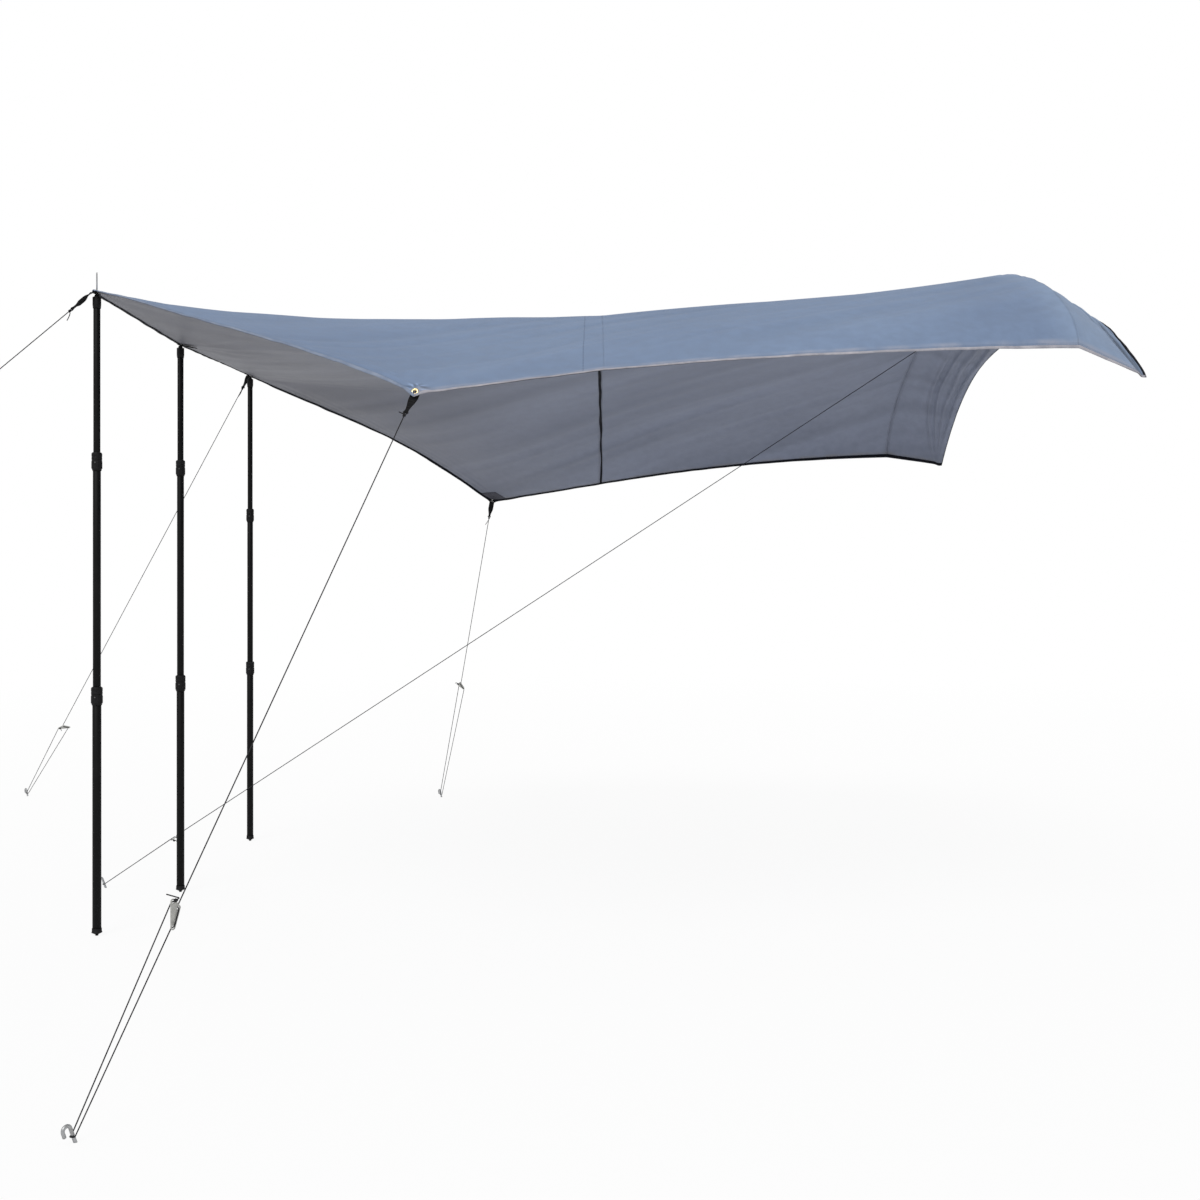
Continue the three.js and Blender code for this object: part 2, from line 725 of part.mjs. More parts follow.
function guys() {
  const ground = (x, y) => at(x, y, PEG_LOOP_RISE);
  const [near, first, , third, far] = EYELETS;
  const pegs = {
    near: ground(NEAR_PEG_X, NEAR_PEG_Y),
    pole_1: ground(PEG_1_X, PEG_1_Y),
    pole_3: ground(PEG_3_X, PEG_3_Y),
    far: ground(FAR_PEG_X, FAR_PEG_Y),
    centre: ground(CENTRE_PEG_X, CENTRE_PEG_Y),
  };
  const flat = (place, peg) => level(place.centre, peg);
  const steep = (place, peg) => unit(place.centre, peg).cross(flat(place, peg)).normalize();
  return [
    { name: "near", place: near, peg: pegs.near, loop: NEAR_LOOP_LENGTH, reach: NEAR_RUNNER_REACH,
      root: WEBBING_WIDTH, bar: up.clone().negate(), turn: -1 },
    { name: "pole_1", place: first, peg: pegs.pole_1, loop: LOOP_1_LENGTH, reach: RUNNER_1_REACH,
      root: WEBBING_WIDTH, bar: flat(first, pegs.pole_1), turn: 1 },
    { name: "pole_3", place: third, peg: pegs.pole_3, loop: LOOP_3_LENGTH, reach: RUNNER_3_REACH,
      root: WEBBING_WIDTH, bar: flat(third, pegs.pole_3), turn: 1 },
    { name: "far", place: far, peg: pegs.far, loop: FAR_LOOP_LENGTH, reach: FAR_RUNNER_REACH,
      root: WEBBING_WIDTH, bar: steep(far, pegs.far), turn: 1 },
    { name: "centre", place: null, peg: pegs.centre, loop: 0, reach: CENTRE_RUNNER_REACH,
      root: WEBBING_WIDTH, bar: level(new THREE.Vector3(), pegs.centre), turn: 1 },
  ];
}

// The tab of the centre line hangs from the underside of the hood, on the second flat of its
// crown behind the arch.
function centreTab(peg) {
  const j = V_LINES.findIndex((line) => line(2) > 1 / 2) - 1;
  const [a, b, c, d] = [[1, j], [2, j], [2, j + 1], [1, j + 1]].map(([i, k]) => {
    const v = V_LINES[k](HOOD_U[i](1 / 2));
    return clothPoint(HOOD_U[i](v), v);
  });
  const normal = unit(a, c).cross(unit(b, d)).normalize();
  const root = mix(mix(a, c, 1 / 2), mix(b, d, 1 / 2), 1 / 2);
  root.addScaledVector(normal, -(CLOTH / 2 + GAP + WEBBING / 2));
  const pull = unit(root, peg);
  const across = new THREE.Vector3().crossVectors(normal, pull).normalize();
  const out = across.clone().cross(normal).normalize().negate();
  const towards = out.dot(pull) > 0 ? out : out.negate();
  const start = root.clone().addScaledVector(towards, -WEBBING_FLAT);
  const bend = root.clone().addScaledVector(towards, WEBBING_FLAT / 2);
  const run = (share) => bend.clone().addScaledVector(pull, CENTRE_TAB_LENGTH * share);
  const widths = [WEBBING_WIDTH, WEBBING_NECK, WEBBING_NECK];
  const stations = [
    { point: start, width: WEBBING_WIDTH },
    { point: bend, width: WEBBING_WIDTH },
    ...TAB_SHARES.map((share, k) => ({ point: run(share), width: widths[k] })),
  ];
  return { made: band(stations, across), end: run(1) };
}

// A runner is a flat plate of three lobes with a hole in each, its apex towards the canopy.
function runnerFrame(guy, start) {
  const down = unit(start, guy.peg);
  const apex = guy.peg.clone().addScaledVector(down, -guy.reach);
  const bar = guy.bar.clone();
  const drop = down.clone().addScaledVector(bar, -down.dot(bar)).normalize();
  const side = bar.clone().cross(drop).normalize();
  const lay = (along, across) =>
    apex
      .clone()
      .addScaledVector(drop, RUNNER_DEPTH + across)
      .addScaledVector(bar, along);
  return {
    apex,
    side,
    bar,
    drop,
    first: lay(RUNNER_APEX_SHIFT - RUNNER_HALF_LENGTH, 0),
    second: lay(RUNNER_APEX_SHIFT + RUNNER_HALF_LENGTH, 0),
  };
}

function runnerPlate({ apex, first, second, side, bar, drop }) {
  const flat = (point) => {
    const way = point.clone().sub(apex);
    return new THREE.Vector2(way.dot(bar), way.dot(drop));
  };
  const centres = [apex, second, first].map(flat);
  const outline = new THREE.Shape();
  centres.forEach((centre, k) => {
    const before = centres[(k + 2) % 3].clone().sub(centre);
    const after = centres[(k + 1) % 3].clone().sub(centre);
    const turns = [before.angle() + SQUARE, after.angle() - SQUARE];
    outline.absarc(centre.x, centre.y, RUNNER_LOBE, turns[0], turns[1], false);
  });
  const options = { depth: RUNNER_THICKNESS, bevelEnabled: false, curveSegments: 3 };
  const basis = new THREE.Matrix4().makeBasis(bar, drop, side);
  const geometry = new THREE.ExtrudeGeometry(outline, options)
    .translate(0, 0, -RUNNER_THICKNESS / 2)
    .applyMatrix4(basis)
    .translate(apex.x, apex.y, apex.z);
  const reach = side.clone().multiplyScalar(RUNNER_THICKNESS);
  const holes = [apex, first, second].map((centre) =>
    rod(centre.clone().sub(reach), centre.clone().add(reach), RUNNER_HOLE, LINE_SIDES),
  );
  return holes.reduce((left, cut) => left.subtract(cut), solid(geometry));
}

const PEG_LEAN = Math.PI / 9;
const LOOP_STEPS = 5;
const HOOK_STEPS = 4;

// The line runs from its loop through the apex, behind the plate and out at the second hole, then
// round the peg and back through the first hole into its end knot. It goes through each hole at a
// slant, so that no bend in it is sharp.
const HOLE_SLANT = Math.PI / 3;

function lineRoute(guy, start, frame) {
  const { apex, first, second, side } = frame;
  const rise = RUNNER_THICKNESS / 2 + LINE_SLACK + LINE_RADIUS;
  const slant = rise / Math.tan(HOLE_SLANT);
  const over = (hole, sign, way) =>
    hole.clone().addScaledVector(side, sign * rise).addScaledVector(way, slant);
  const away = unit(start, guy.peg).setZ(0).normalize();
  const across = new THREE.Vector3().crossVectors(away, up).multiplyScalar(guy.turn).normalize();
  const halfStep = Math.PI / LOOP_STEPS / 2;
  const shank = PEG_RADIUS / Math.cos(PEG_LEAN);
  const reach = (shank + GAP + LINE_RADIUS) / Math.cos(halfStep);
  const loop = evenly(0, Math.PI, LOOP_STEPS).map((turn) =>
    guy.peg
      .clone()
      .addScaledVector(across, reach * Math.cos(turn))
      .addScaledVector(away, reach * Math.sin(turn)),
  );
  const behind = RUNNER_THICKNESS / 2 + GAP + KNOT_RADIUS;
  const knot = first
    .clone()
    .addScaledVector(side, -behind)
    .addScaledVector(unit(loop.at(-1), first), behind / Math.tan(HOLE_SLANT));
  const before = rounded(
    [
      start,
      over(apex, 1, unit(apex, start)),
      over(apex, -1, unit(apex, second)),
      over(second, -1, unit(second, apex)),
      over(second, 1, unit(second, loop[0])),
      loop[0],
    ],
    LINE_BEND,
  );
  const after = rounded([loop.at(-1), over(first, 1, unit(first, loop.at(-1))), knot], LINE_BEND);
  return { points: [...before, ...loop.slice(1, -1), ...after], knot };
}

function line({ points, knot }, start) {
  return tube(points, LINE_RADIUS, LINE_SIDES)
    .add(lump(start, LOOP_KNOT_RADIUS))
    .add(lump(knot, KNOT_RADIUS));
}

// A steel peg with a hook over the loop of its line. It leans away from the canopy.
function peg(guy, start) {
  const away = unit(start, guy.peg).setZ(0).normalize();
  const shank = up.clone().multiplyScalar(Math.cos(PEG_LEAN)).addScaledVector(away, Math.sin(PEG_LEAN));
  const out = away.clone().addScaledVector(shank, -away.dot(shank)).normalize();
  const top = guy.peg.clone().addScaledVector(shank, PEG_RISE - PEG_LOOP_RISE);
  const hook = evenly(0, Math.PI, HOOK_STEPS).map((turn) =>
    top
      .clone()
      .addScaledVector(out, PEG_HOOK * (1 - Math.cos(turn)))
      .addScaledVector(shank, PEG_HOOK * Math.sin(turn)),
  );
  const tip = guy.peg.clone().addScaledVector(shank, -PEG_DEPTH);
  const end = hook.at(-1).clone().addScaledVector(shank, -PEG_HOOK_DROP);
  const body = tube([tip, ...hook, end], PEG_RADIUS, LINE_SIDES);
  const point = new THREE.ConeGeometry(PEG_RADIUS, PEG_POINT, LINE_SIDES);
  const turn = new THREE.Quaternion().setFromUnitVectors(new THREE.Vector3(0, 1, 0), shank.clone().negate());
  const middle = tip.clone().addScaledVector(shank, -PEG_POINT / 2 + GAP);
  point.applyQuaternion(turn).translate(middle.x, middle.y, middle.z);
  return body.add(solid(point));
}

function guyPieces() {
  const parts = [];
  for (const guy of guys()) {
    const tab = guy.place
      ? loopAt(guy.place, unit(guy.place.centre, guy.peg), guy.loop, guy.root)
      : centreTab(guy.peg);
    const pull = unit(tab.end, guy.peg);
    const start = tab.end.clone().addScaledVector(pull, GAP + LOOP_KNOT_RADIUS);
    const frame = runnerFrame(guy, start);
    const route = lineRoute(guy, start, frame);
    parts.push(
      piece(guy.name + "_loop", tab.made, DARK_WEBBING),
      piece(guy.name + "_line", line(route, start), LINE_CORD),
      piece(guy.name + "_runner", runnerPlate(frame), GREY_PLASTIC),
      piece(guy.name + "_peg", peg(guy, start), PEG_STEEL),
    );
  }
  const inward = new THREE.Vector3(1, 0, -1 / 5).normalize();
  const tab = loopAt(EYELETS[2], inward, TAB_2_LENGTH, WEBBING_WIDTH);
  return [...parts, piece("pole_2_tab", tab.made, DARK_WEBBING)];
}

// Poles. Each is built about its own axis with heights above the ground.

const MIDDLE_TUBE = UPPER_TUBE + 2 * (TUBE_CLEARANCE + TUBE_WALL);
const LOWER_TUBE = MIDDLE_TUBE + 2 * (TUBE_CLEARANCE + TUBE_WALL);

function pipe(diameter, bottom, top) {
  const [outer, inner] = [diameter / 2, diameter / 2 - TUBE_WALL];
  return ring([[inner, bottom], [outer, bottom], [outer, top], [inner, top]], ROUND);
}

// A round nose on the cap bears on the rim of the webbing's hole, under the eyelet. The pole leans
// about the nose's centre, and the spike stands up from it through the eyelet.
function noseDrop(normal) {
  const rim = WEBBING_HOLE * Math.cos(Math.PI / SMALL_ROUND);
  const bottom = WEBBING / 2 - STRAP_LEVEL;
  const reach = rim * Math.sqrt(1 - normal.z ** 2) + bottom * normal.z;
  return reach + Math.sqrt(reach ** 2 - rim ** 2 - bottom ** 2 + (NOSE_RADIUS + GAP) ** 2);
}

function poleTop(pivot, spikeTop) {
  const shoulder = pivot - CAP_SHOULDER;
  const bottom = shoulder - CAP_LENGTH;
  const inner = UPPER_TUBE / 2 + GAP;
  const start = Math.asin(-CAP_SHOULDER / NOSE_RADIUS);
  const nose = evenly(start, Math.acos(SPIKE_RADIUS / NOSE_RADIUS), 4).map((turn) => [
    NOSE_RADIUS * Math.cos(turn),
    pivot + NOSE_RADIUS * Math.sin(turn),
  ]);
  return revolved(
    [
      [0, shoulder - CAP_FLOOR],
      [inner, shoulder - CAP_FLOOR],
      [inner, bottom],
      [inner + CAP_WALL, bottom],
      [CAP_RADIUS, shoulder - CAP_STRAIGHT],
      [CAP_RADIUS, shoulder - CAP_ROUND],
      [CAP_RADIUS - CAP_ROUND, shoulder],
      ...nose,
      [SPIKE_RADIUS, spikeTop - SPIKE_TIP],
      [SPIKE_RADIUS / 3, spikeTop],
      [0, spikeTop],
    ],
    ROUND,
  );
}

// A clamp sits on the top end of an outer tube: a smooth ring that guides the inner tube, and a
// ribbed sleeve under it that turns to grip.
function clampRing(top, innerTube, outerTube) {
  const bore = innerTube / 2 + GAP;
  const rim = outerTube / 2 + CLAMP_WALL;
  const floor = top - CLAMP_RING;
  return ring(
    [
      [bore, floor - CLAMP_SKIRT],
      [outerTube / 2, floor - CLAMP_SKIRT],
      [outerTube / 2, floor],
      [rim - CLAMP_CHAMFER / 2, floor],
      [rim, floor + CLAMP_CHAMFER],
      [rim, top - CLAMP_CHAMFER],
      [rim - CLAMP_CHAMFER, top],
      [bore, top],
    ],
    ROUND,
  );
}

const SLEEVE_RIBS = 12;

function clampSleeve(top, outerTube) {
  const rim = outerTube / 2 + CLAMP_WALL;
  const bore = outerTube / 2 + GAP;
  const high = top - CLAMP_RING - GAP;
  const low = top - CLAMP_LENGTH;
  const outline = new THREE.Shape(
    Array.from({ length: 2 * SLEEVE_RIBS }, (_, k) => {
      const turn = (Math.PI * k) / SLEEVE_RIBS;
      const radius = k % 2 ? rim - SLEEVE_RIB / 2 : rim + SLEEVE_RIB / 2;
      return new THREE.Vector2(radius * Math.cos(turn), radius * Math.sin(turn));
    }),
  );
  const depth = high - low - SLEEVE_TAPER;
  const ribs = new THREE.ExtrudeGeometry(outline, { depth, bevelEnabled: false });
  const taper = revolved(
    [
      [0, low],
      [bore + CAP_WALL, low],
      [rim - SLEEVE_RIB, low + SLEEVE_TAPER],
      [rim - SLEEVE_RIB, high - GAP],
      [0, high - GAP],
    ],
    ROUND,
  );
  const ends = [low - GAP, high + GAP].map((height) => up.clone().multiplyScalar(height));
  return solid(ribs.translate(0, 0, low + SLEEVE_TAPER)).add(taper).subtract(rod(...ends, bore, ROUND));
}

// The foot is a cup round the lower tube over a cone with a small flat nipple.
function foot() {
  const cup = LOWER_TUBE / 2 + GAP;
  const floor = FOOT_LENGTH - FOOT_CUP;
  return revolved(
    [
      [0, 0],
      [FOOT_NIPPLE, 0],
      [FOOT_NIPPLE, FOOT_NIPPLE_LENGTH],
      [FOOT_RADIUS, FOOT_CONE + FOOT_NIPPLE_LENGTH - FOOT_RIM / 2],
      [FOOT_RADIUS, FOOT_CONE + FOOT_RIM],
      [cup + CAP_WALL, FOOT_LENGTH],
      [cup, FOOT_LENGTH],
      [cup, floor],
      [0, floor],
    ],
    ROUND,
  );
}

function pole(number, { centre, normal }, clampHeight) {
  const eyeletHeight = centre.z + CROWN_HEIGHT;
  const pivot = eyeletHeight - noseDrop(normal);
  const upperTop = pivot - CAP_SHOULDER - CAP_FLOOR - GAP;
  const tubeDrop = CLAMP_RING + CLAMP_SKIRT + GAP;
  const middleTop = clampHeight - tubeDrop;
  const lowerTop = LOWER_CLAMP_HEIGHT - tubeDrop;
  const lowerBottom = FOOT_LENGTH - FOOT_CUP + GAP;
  const name = "pole_" + number;
  const group = new THREE.Group();
  group.position.set(centre.x, centre.y, -CROWN_HEIGHT);
  group.add(
    piece(name + "_top", poleTop(pivot, eyeletHeight + SPIKE_RISE), BLACK_PLASTIC),
    piece(
      name + "_upper_tube",
      pipe(UPPER_TUBE, upperTop - UPPER_TUBE_LENGTH, upperTop),
      BLACK_STEEL,
    ),
    piece(
      name + "_middle_tube",
      pipe(MIDDLE_TUBE, middleTop - MIDDLE_TUBE_LENGTH, middleTop),
      BLACK_STEEL,
    ),
    piece(name + "_lower_tube", pipe(LOWER_TUBE, lowerBottom, lowerTop), BLACK_STEEL),
    piece(name + "_upper_ring", clampRing(clampHeight, UPPER_TUBE, MIDDLE_TUBE), BLACK_PLASTIC),
    piece(name + "_upper_sleeve", clampSleeve(clampHeight, MIDDLE_TUBE), BLACK_PLASTIC),
    piece(name + "_lower_ring", clampRing(LOWER_CLAMP_HEIGHT, MIDDLE_TUBE, LOWER_TUBE), BLACK_PLASTIC),
    piece(name + "_lower_sleeve", clampSleeve(LOWER_CLAMP_HEIGHT, LOWER_TUBE), BLACK_PLASTIC),
    piece(name + "_foot", foot(), BLACK_PLASTIC),
  );
  return group;
}

const canopy = new THREE.Group();
canopy.add(
  ...clothPieces(),
  ...eyeletPieces(),
  ...guyPieces(),
  pole(1, EYELETS[1], POLE_1_CLAMP_HEIGHT),
  pole(2, EYELETS[2], POLE_2_CLAMP_HEIGHT),
  pole(3, EYELETS[3], POLE_3_CLAMP_HEIGHT),
);

export default canopy;
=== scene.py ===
import bisect
import math

import bmesh
import bpy
from mathutils import Matrix, Vector, noise
from mathutils.geometry import interpolate_bezier


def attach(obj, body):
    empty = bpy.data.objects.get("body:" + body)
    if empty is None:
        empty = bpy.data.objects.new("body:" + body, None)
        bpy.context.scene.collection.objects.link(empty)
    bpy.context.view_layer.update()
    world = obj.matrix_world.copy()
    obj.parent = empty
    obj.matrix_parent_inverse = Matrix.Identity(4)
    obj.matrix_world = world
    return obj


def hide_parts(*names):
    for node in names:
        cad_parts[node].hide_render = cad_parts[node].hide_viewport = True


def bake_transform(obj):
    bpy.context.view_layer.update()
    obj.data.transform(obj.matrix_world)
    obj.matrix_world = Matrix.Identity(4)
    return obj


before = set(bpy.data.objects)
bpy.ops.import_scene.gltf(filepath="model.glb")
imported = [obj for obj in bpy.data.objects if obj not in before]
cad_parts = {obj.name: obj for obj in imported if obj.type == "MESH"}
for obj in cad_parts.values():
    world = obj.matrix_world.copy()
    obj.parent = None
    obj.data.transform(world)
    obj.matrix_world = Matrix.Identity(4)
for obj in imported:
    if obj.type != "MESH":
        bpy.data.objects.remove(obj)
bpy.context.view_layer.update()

GROUND = -2.29
PHOTO_SIDE = 1200
HORIZON_ABOVE_MIDDLE = 4
STAGE_MIDDLE = (-1.4, 0, GROUND)


def keep(name, data):
    made = bpy.data.objects.new(name, data)
    bpy.context.scene.collection.objects.link(made)
    return made


def kept_mesh(name, bm):
    mesh = bpy.data.meshes.new(name)
    bm.to_mesh(mesh)
    bm.free()
    return keep(name, mesh)


class Graph:
    """A tree of shader nodes. Its values are numbers, colours, places or other nodes' outputs."""

    def __init__(self, tree):
        self.tree = tree

    def feed(self, socket, value):
        if isinstance(value, (int, float)):
            socket.default_value = value
        elif isinstance(value, tuple):
            socket.default_value = (*value, 1)[:len(socket.default_value)]
        else:
            self.tree.links.new(value, socket)

    def node(self, kind, values=(), **settings):
        made = self.tree.nodes.new("ShaderNode" + kind)
        for name, setting in settings.items():
            setattr(made, name, setting)
        for key, value in dict(values).items():
            self.feed(made.inputs[key], value)
        return made

    def maths(self, operation, *values):
        return self.node("Math", enumerate(values), operation=operation).outputs[0]


class Look(Graph):
    """A new material with its Principled BSDF and its two kinds of coordinates."""

    def __init__(self, name):
        self.material = bpy.data.materials.new(name)
        self.material.use_nodes = True
        super().__init__(self.material.node_tree)
        self.shader = self.tree.nodes["Principled BSDF"]
        place = self.node("TexCoord").outputs
        self.object, self.uv = place["Object"], place["UV"]

    def put(self, **values):
        """Values for the BSDF's sockets, each named with _ for its spaces."""
        for name, value in values.items():
            self.feed(self.shader.inputs[name.replace("_", " ")], value)

    def noise(self, scale, detail=3.0, roughness=0.55, at=None):
        values = {"Scale": scale, "Detail": detail, "Roughness": roughness, "Vector": at or self.object}
        return self.node("TexNoise", values).outputs["Fac"]

    def ramp(self, value, *stops):
        """A colour ramp over a value. Each stop is (place, (r, g, b)) or (place, grey)."""
        ramp = self.node("ValToRGB", {0: value})
        elements = ramp.color_ramp.elements
        while len(elements) < len(stops):
            elements.new(0.5)
        for element, (position, colour) in zip(elements, stops):
            element.position = position
            element.color = (*([colour] * 3 if isinstance(colour, (int, float)) else colour), 1)
        return ramp.outputs[0]

    def mix(self, share, a, b, mode="MIX"):
        return self.node("Mix", {0: share, 6: a, 7: b}, data_type="RGBA", blend_type=mode).outputs[2]

    def bump(self, height, distance, strength, after=None):
        values = {"Distance": distance, "Strength": strength, "Height": height}
        if after:
            values["Normal"] = after
        made = self.node("Bump", values).outputs[0]
        self.put(Normal=made)
        return made

    def group(self, group, **values):
        return self.node("Group", values, node_tree=group.tree).outputs


camera = keep("photo_camera", bpy.data.cameras.new("photo_camera"))
camera.location = (-1.400, -5.461, -1.181)
camera.rotation_euler = (math.pi / 2, 0, 0)
camera.data.sensor_width = 36
camera.data.lens = 42
camera.data.shift_y = -HORIZON_ABOVE_MIDDLE / PHOTO_SIDE
camera.data.clip_end = 200
bpy.context.scene.camera = camera

sky = bpy.data.worlds.new("pale_surround")
sky.use_nodes = True
bpy.context.scene.world = sky
surround = Graph(sky.node_tree)
rays = surround.node("LightPath").outputs
seen = surround.maths("MAXIMUM", rays["Is Camera Ray"], rays["Is Transmission Ray"])
level = surround.node("MapRange", {"To Min": 0.62, "To Max": 1.0, "Value": seen})
backdrop = sky.node_tree.nodes["Background"].inputs
surround.feed(backdrop["Strength"], level.outputs[0])
surround.feed(backdrop["Color"], (1, 1, 1))

lamp = keep("wide_lamp", bpy.data.lights.new("wide_lamp", "SUN"))
lamp.data.energy = 1.25
lamp.data.angle = math.radians(28)
lamp.rotation_euler = (math.radians(38), math.radians(-16), 0)

# The ground fades into the surround with the distance, where the camera sees it.
ground_mesh = bmesh.new()
bmesh.ops.create_circle(ground_mesh, cap_ends=True, segments=96, radius=90)
bmesh.ops.translate(ground_mesh, verts=ground_mesh.verts, vec=STAGE_MIDDLE)
ground = kept_mesh("ground", ground_mesh)
pale = Look("pale_ground")
pale.put(Base_Color=(0.86, 0.86, 0.86), Roughness=0.95, Specular_IOR_Level=0.1)
glow = pale.node("Emission", {"Strength": 1.0})
reach = pale.node("VectorMath", {0: pale.object, 1: STAGE_MIDDLE}, operation="DISTANCE").outputs["Value"]
fade = pale.node("MapRange", {"From Min": 3.0, "From Max": 14.0, "To Min": 0.92, "Value": reach})
share = pale.maths("MULTIPLY", fade.outputs[0], pale.node("LightPath").outputs["Is Camera Ray"])
faded = pale.node("MixShader", {0: share, 1: pale.shader.outputs[0], 2: glow.outputs[0]})
pale.feed(pale.tree.nodes["Material Output"].inputs["Surface"], faded.outputs[0])
ground.data.materials.append(pale.material)

# The five guy lines: braided polyester cord, 3 mm thick, knotted to a webbing loop. Each runs taut
# through its runner, round its peg and back to the runner's first hole, where a knot stops it.
LINE = 0.003
CLEARANCE = 0.0003
PLATE = 0.003
HOLE_PASS = 0.0042
HOLE_SLANT = math.tan(math.radians(60))
LINE_BEND = 0.0035
KNOT = 0.0046
RUNNER_DEPTH = 0.014
RUNNER_BACK = 0.016
RUNNER_AHEAD = 0.040
PEG_WIRE = 0.008
PEG_LEAN = math.radians(20)
# Each line's start at its webbing, the place at its peg, the way along its runner's bar, the runner's
# distance from the peg and the side on which it goes round the peg.
GUYS = {
    "near": ((-1.91102, -1.79516, -0.70498), (-2.468, -2.623, -2.276), (0, 0, -1), 0.491, -1),
    "pole_1": ((-3.10847, -0.94408, -0.25930), (-4.681, -2.302, -2.276), (-0.6542, 0.7564, 0), 0.566, 1),
    "pole_3": ((-3.03226, 0.93128, -0.23267), (-4.576, 2.302, -2.276), (0.6650, 0.7468, 0), 0.566, 1),
    "far": ((-1.98062, 1.86730, -0.77052), (-2.277, 2.263, -2.276), (0.5654, -0.7625, -0.3145), 0.657, 1),
    "centre": ((0.03010, -0.01316, -0.09713), (-3.284, -0.139, -2.276), (-0.0423, 0.9991, 0), 0.324, 1),
}
UP = Vector((0, 0, 1))


def square_to(vector, axis):
    return (vector - axis * vector.dot(axis)).normalized()


def runner_frame(start, peg, bar, reach):
    """Where a runner's three holes are, with the ways along its bar, away from it and off its face."""
    start, peg, bar = Vector(start), Vector(peg), Vector(bar).normalized()
    down = (peg - start).normalized()
    apex = peg - down * reach
    drop = square_to(down, bar)
    low = apex + drop * RUNNER_DEPTH
    return {
        "apex": apex, "first": low - bar * RUNNER_BACK, "second": low + bar * RUNNER_AHEAD,
        "side": bar.cross(drop).normalized(), "bar": bar, "drop": drop, "down": down, "peg": peg,
        "start": start,
    }


def eased(corners, bend, steps=4):
    """The corners with each inner one rounded off."""
    points = [corners[0]]
    for before, corner, after in zip(corners, corners[1:], corners[2:]):
        a, b = before - corner, after - corner
        cut = min(bend, a.length * 0.46, b.length * 0.46)
        a, b = corner + a.normalized() * cut, corner + b.normalized() * cut
        points += interpolate_bezier(a, a.lerp(corner, 0.56), b.lerp(corner, 0.56), b, steps)
    return points + [corners[-1]]


def mesh_of_runs(name, runs, thick, resolution, radii=None):
    """A round strand through each run's points, all in one mesh."""
    spine = bpy.data.curves.new(name, "CURVE")
    spine.dimensions = "3D"
    spine.bevel_depth = thick / 2
    spine.bevel_resolution = resolution
    spine.use_fill_caps = True
    for run in runs:
        strand = spine.splines.new("POLY")
        strand.points.add(len(run) - 1)
        for k, (place, point) in enumerate(zip(strand.points, run)):
            place.co = (*point, 1)
            place.radius = radii[k] if radii else 1
    bare = bpy.data.objects.new(name, spine)
    mesh = bpy.data.meshes.new_from_object(bare)
    bpy.data.objects.remove(bare)
    bpy.data.curves.remove(spine)
    mesh.name = name
    mesh.polygons.foreach_set("use_smooth", [True] * len(mesh.polygons))
    mesh.materials.clear()
    return mesh


def lengths_along(points):
    lengths = [0.0]
    for a, b in zip(points, points[1:]):
        lengths.append(lengths[-1] + (b - a).length)
    return lengths


def cord_run(name, points, thick, sides=10, radii=None):
    """A round cord through the points, with its length in metres along U and its turn along V."""
    mesh = mesh_of_runs(name, [points], thick, (sides - 4) // 2, radii)
    along = lengths_along(points)
    turns = mesh.uv_layers[0] if mesh.uv_layers else mesh.uv_layers.new(name="UVMap")
    for corner in turns.data:
        u, v = corner.uv
        spot = u * (len(points) - 1)
        k = min(int(spot + 1e-6), len(points) - 2)
        corner.uv = (along[k] + (along[k + 1] - along[k]) * (spot - k), v)
    return keep(name, mesh)


class Group(Graph):
    """A new node group. Its inputs are numbers, or a vector where the value given is None."""

    def __init__(self, name, inputs, outputs):
        super().__init__(bpy.data.node_groups.new(name, "ShaderNodeTree"))
        face = self.tree.interface
        for key, value in inputs.items():
            if value is None:
                face.new_socket(key, in_out="INPUT", socket_type="NodeSocketVector")
            else:
                face.new_socket(key, in_out="INPUT", socket_type="NodeSocketFloat").default_value = value
        for key in outputs:
            face.new_socket(key, in_out="OUTPUT", socket_type="NodeSocketFloat")
        self.ins = self.tree.nodes.new("NodeGroupInput").outputs
        self.outs = self.tree.nodes.new("NodeGroupOutput").inputs


# Crossing strands on a cord's own UV: their height, and which of them are the light ones.
BRAID = Group("braided_cord", {"Vector": None, "Pitch": 0.006, "Strands": 4}, ("Height", "Fleck"))
ways = BRAID.node("SeparateXYZ", {0: BRAID.ins["Vector"]}).outputs
along = BRAID.maths("DIVIDE", ways["X"], BRAID.ins["Pitch"])
around = BRAID.maths("MULTIPLY", ways["Y"], BRAID.ins["Strands"])
waves = [
    BRAID.maths("SINE", BRAID.maths("MULTIPLY", BRAID.maths(operation, along, around), 2 * math.pi))
    for operation in ("ADD", "SUBTRACT")
]
BRAID.feed(BRAID.outs["Height"], BRAID.maths("MULTIPLY", *waves))
BRAID.feed(BRAID.outs["Fleck"], BRAID.maths("GREATER_THAN", waves[0], 0.72))

look = Look("braided_guy_line")
braid = look.group(BRAID, Vector=look.uv)
worn = look.noise(40)
cord_shade = look.ramp(worn, (0.3, (0.009, 0.009, 0.011)), (0.7, (0.022, 0.022, 0.024)))
look.put(Base_Color=look.mix(braid["Fleck"], cord_shade, (0.055, 0.055, 0.058)))
look.put(Roughness=look.ramp(worn, (0.2, 0.62), (0.8, 0.85)), Specular_IOR_Level=0.2)
look.bump(braid["Height"], 0.0004, 0.8)
cord_weave = look.material

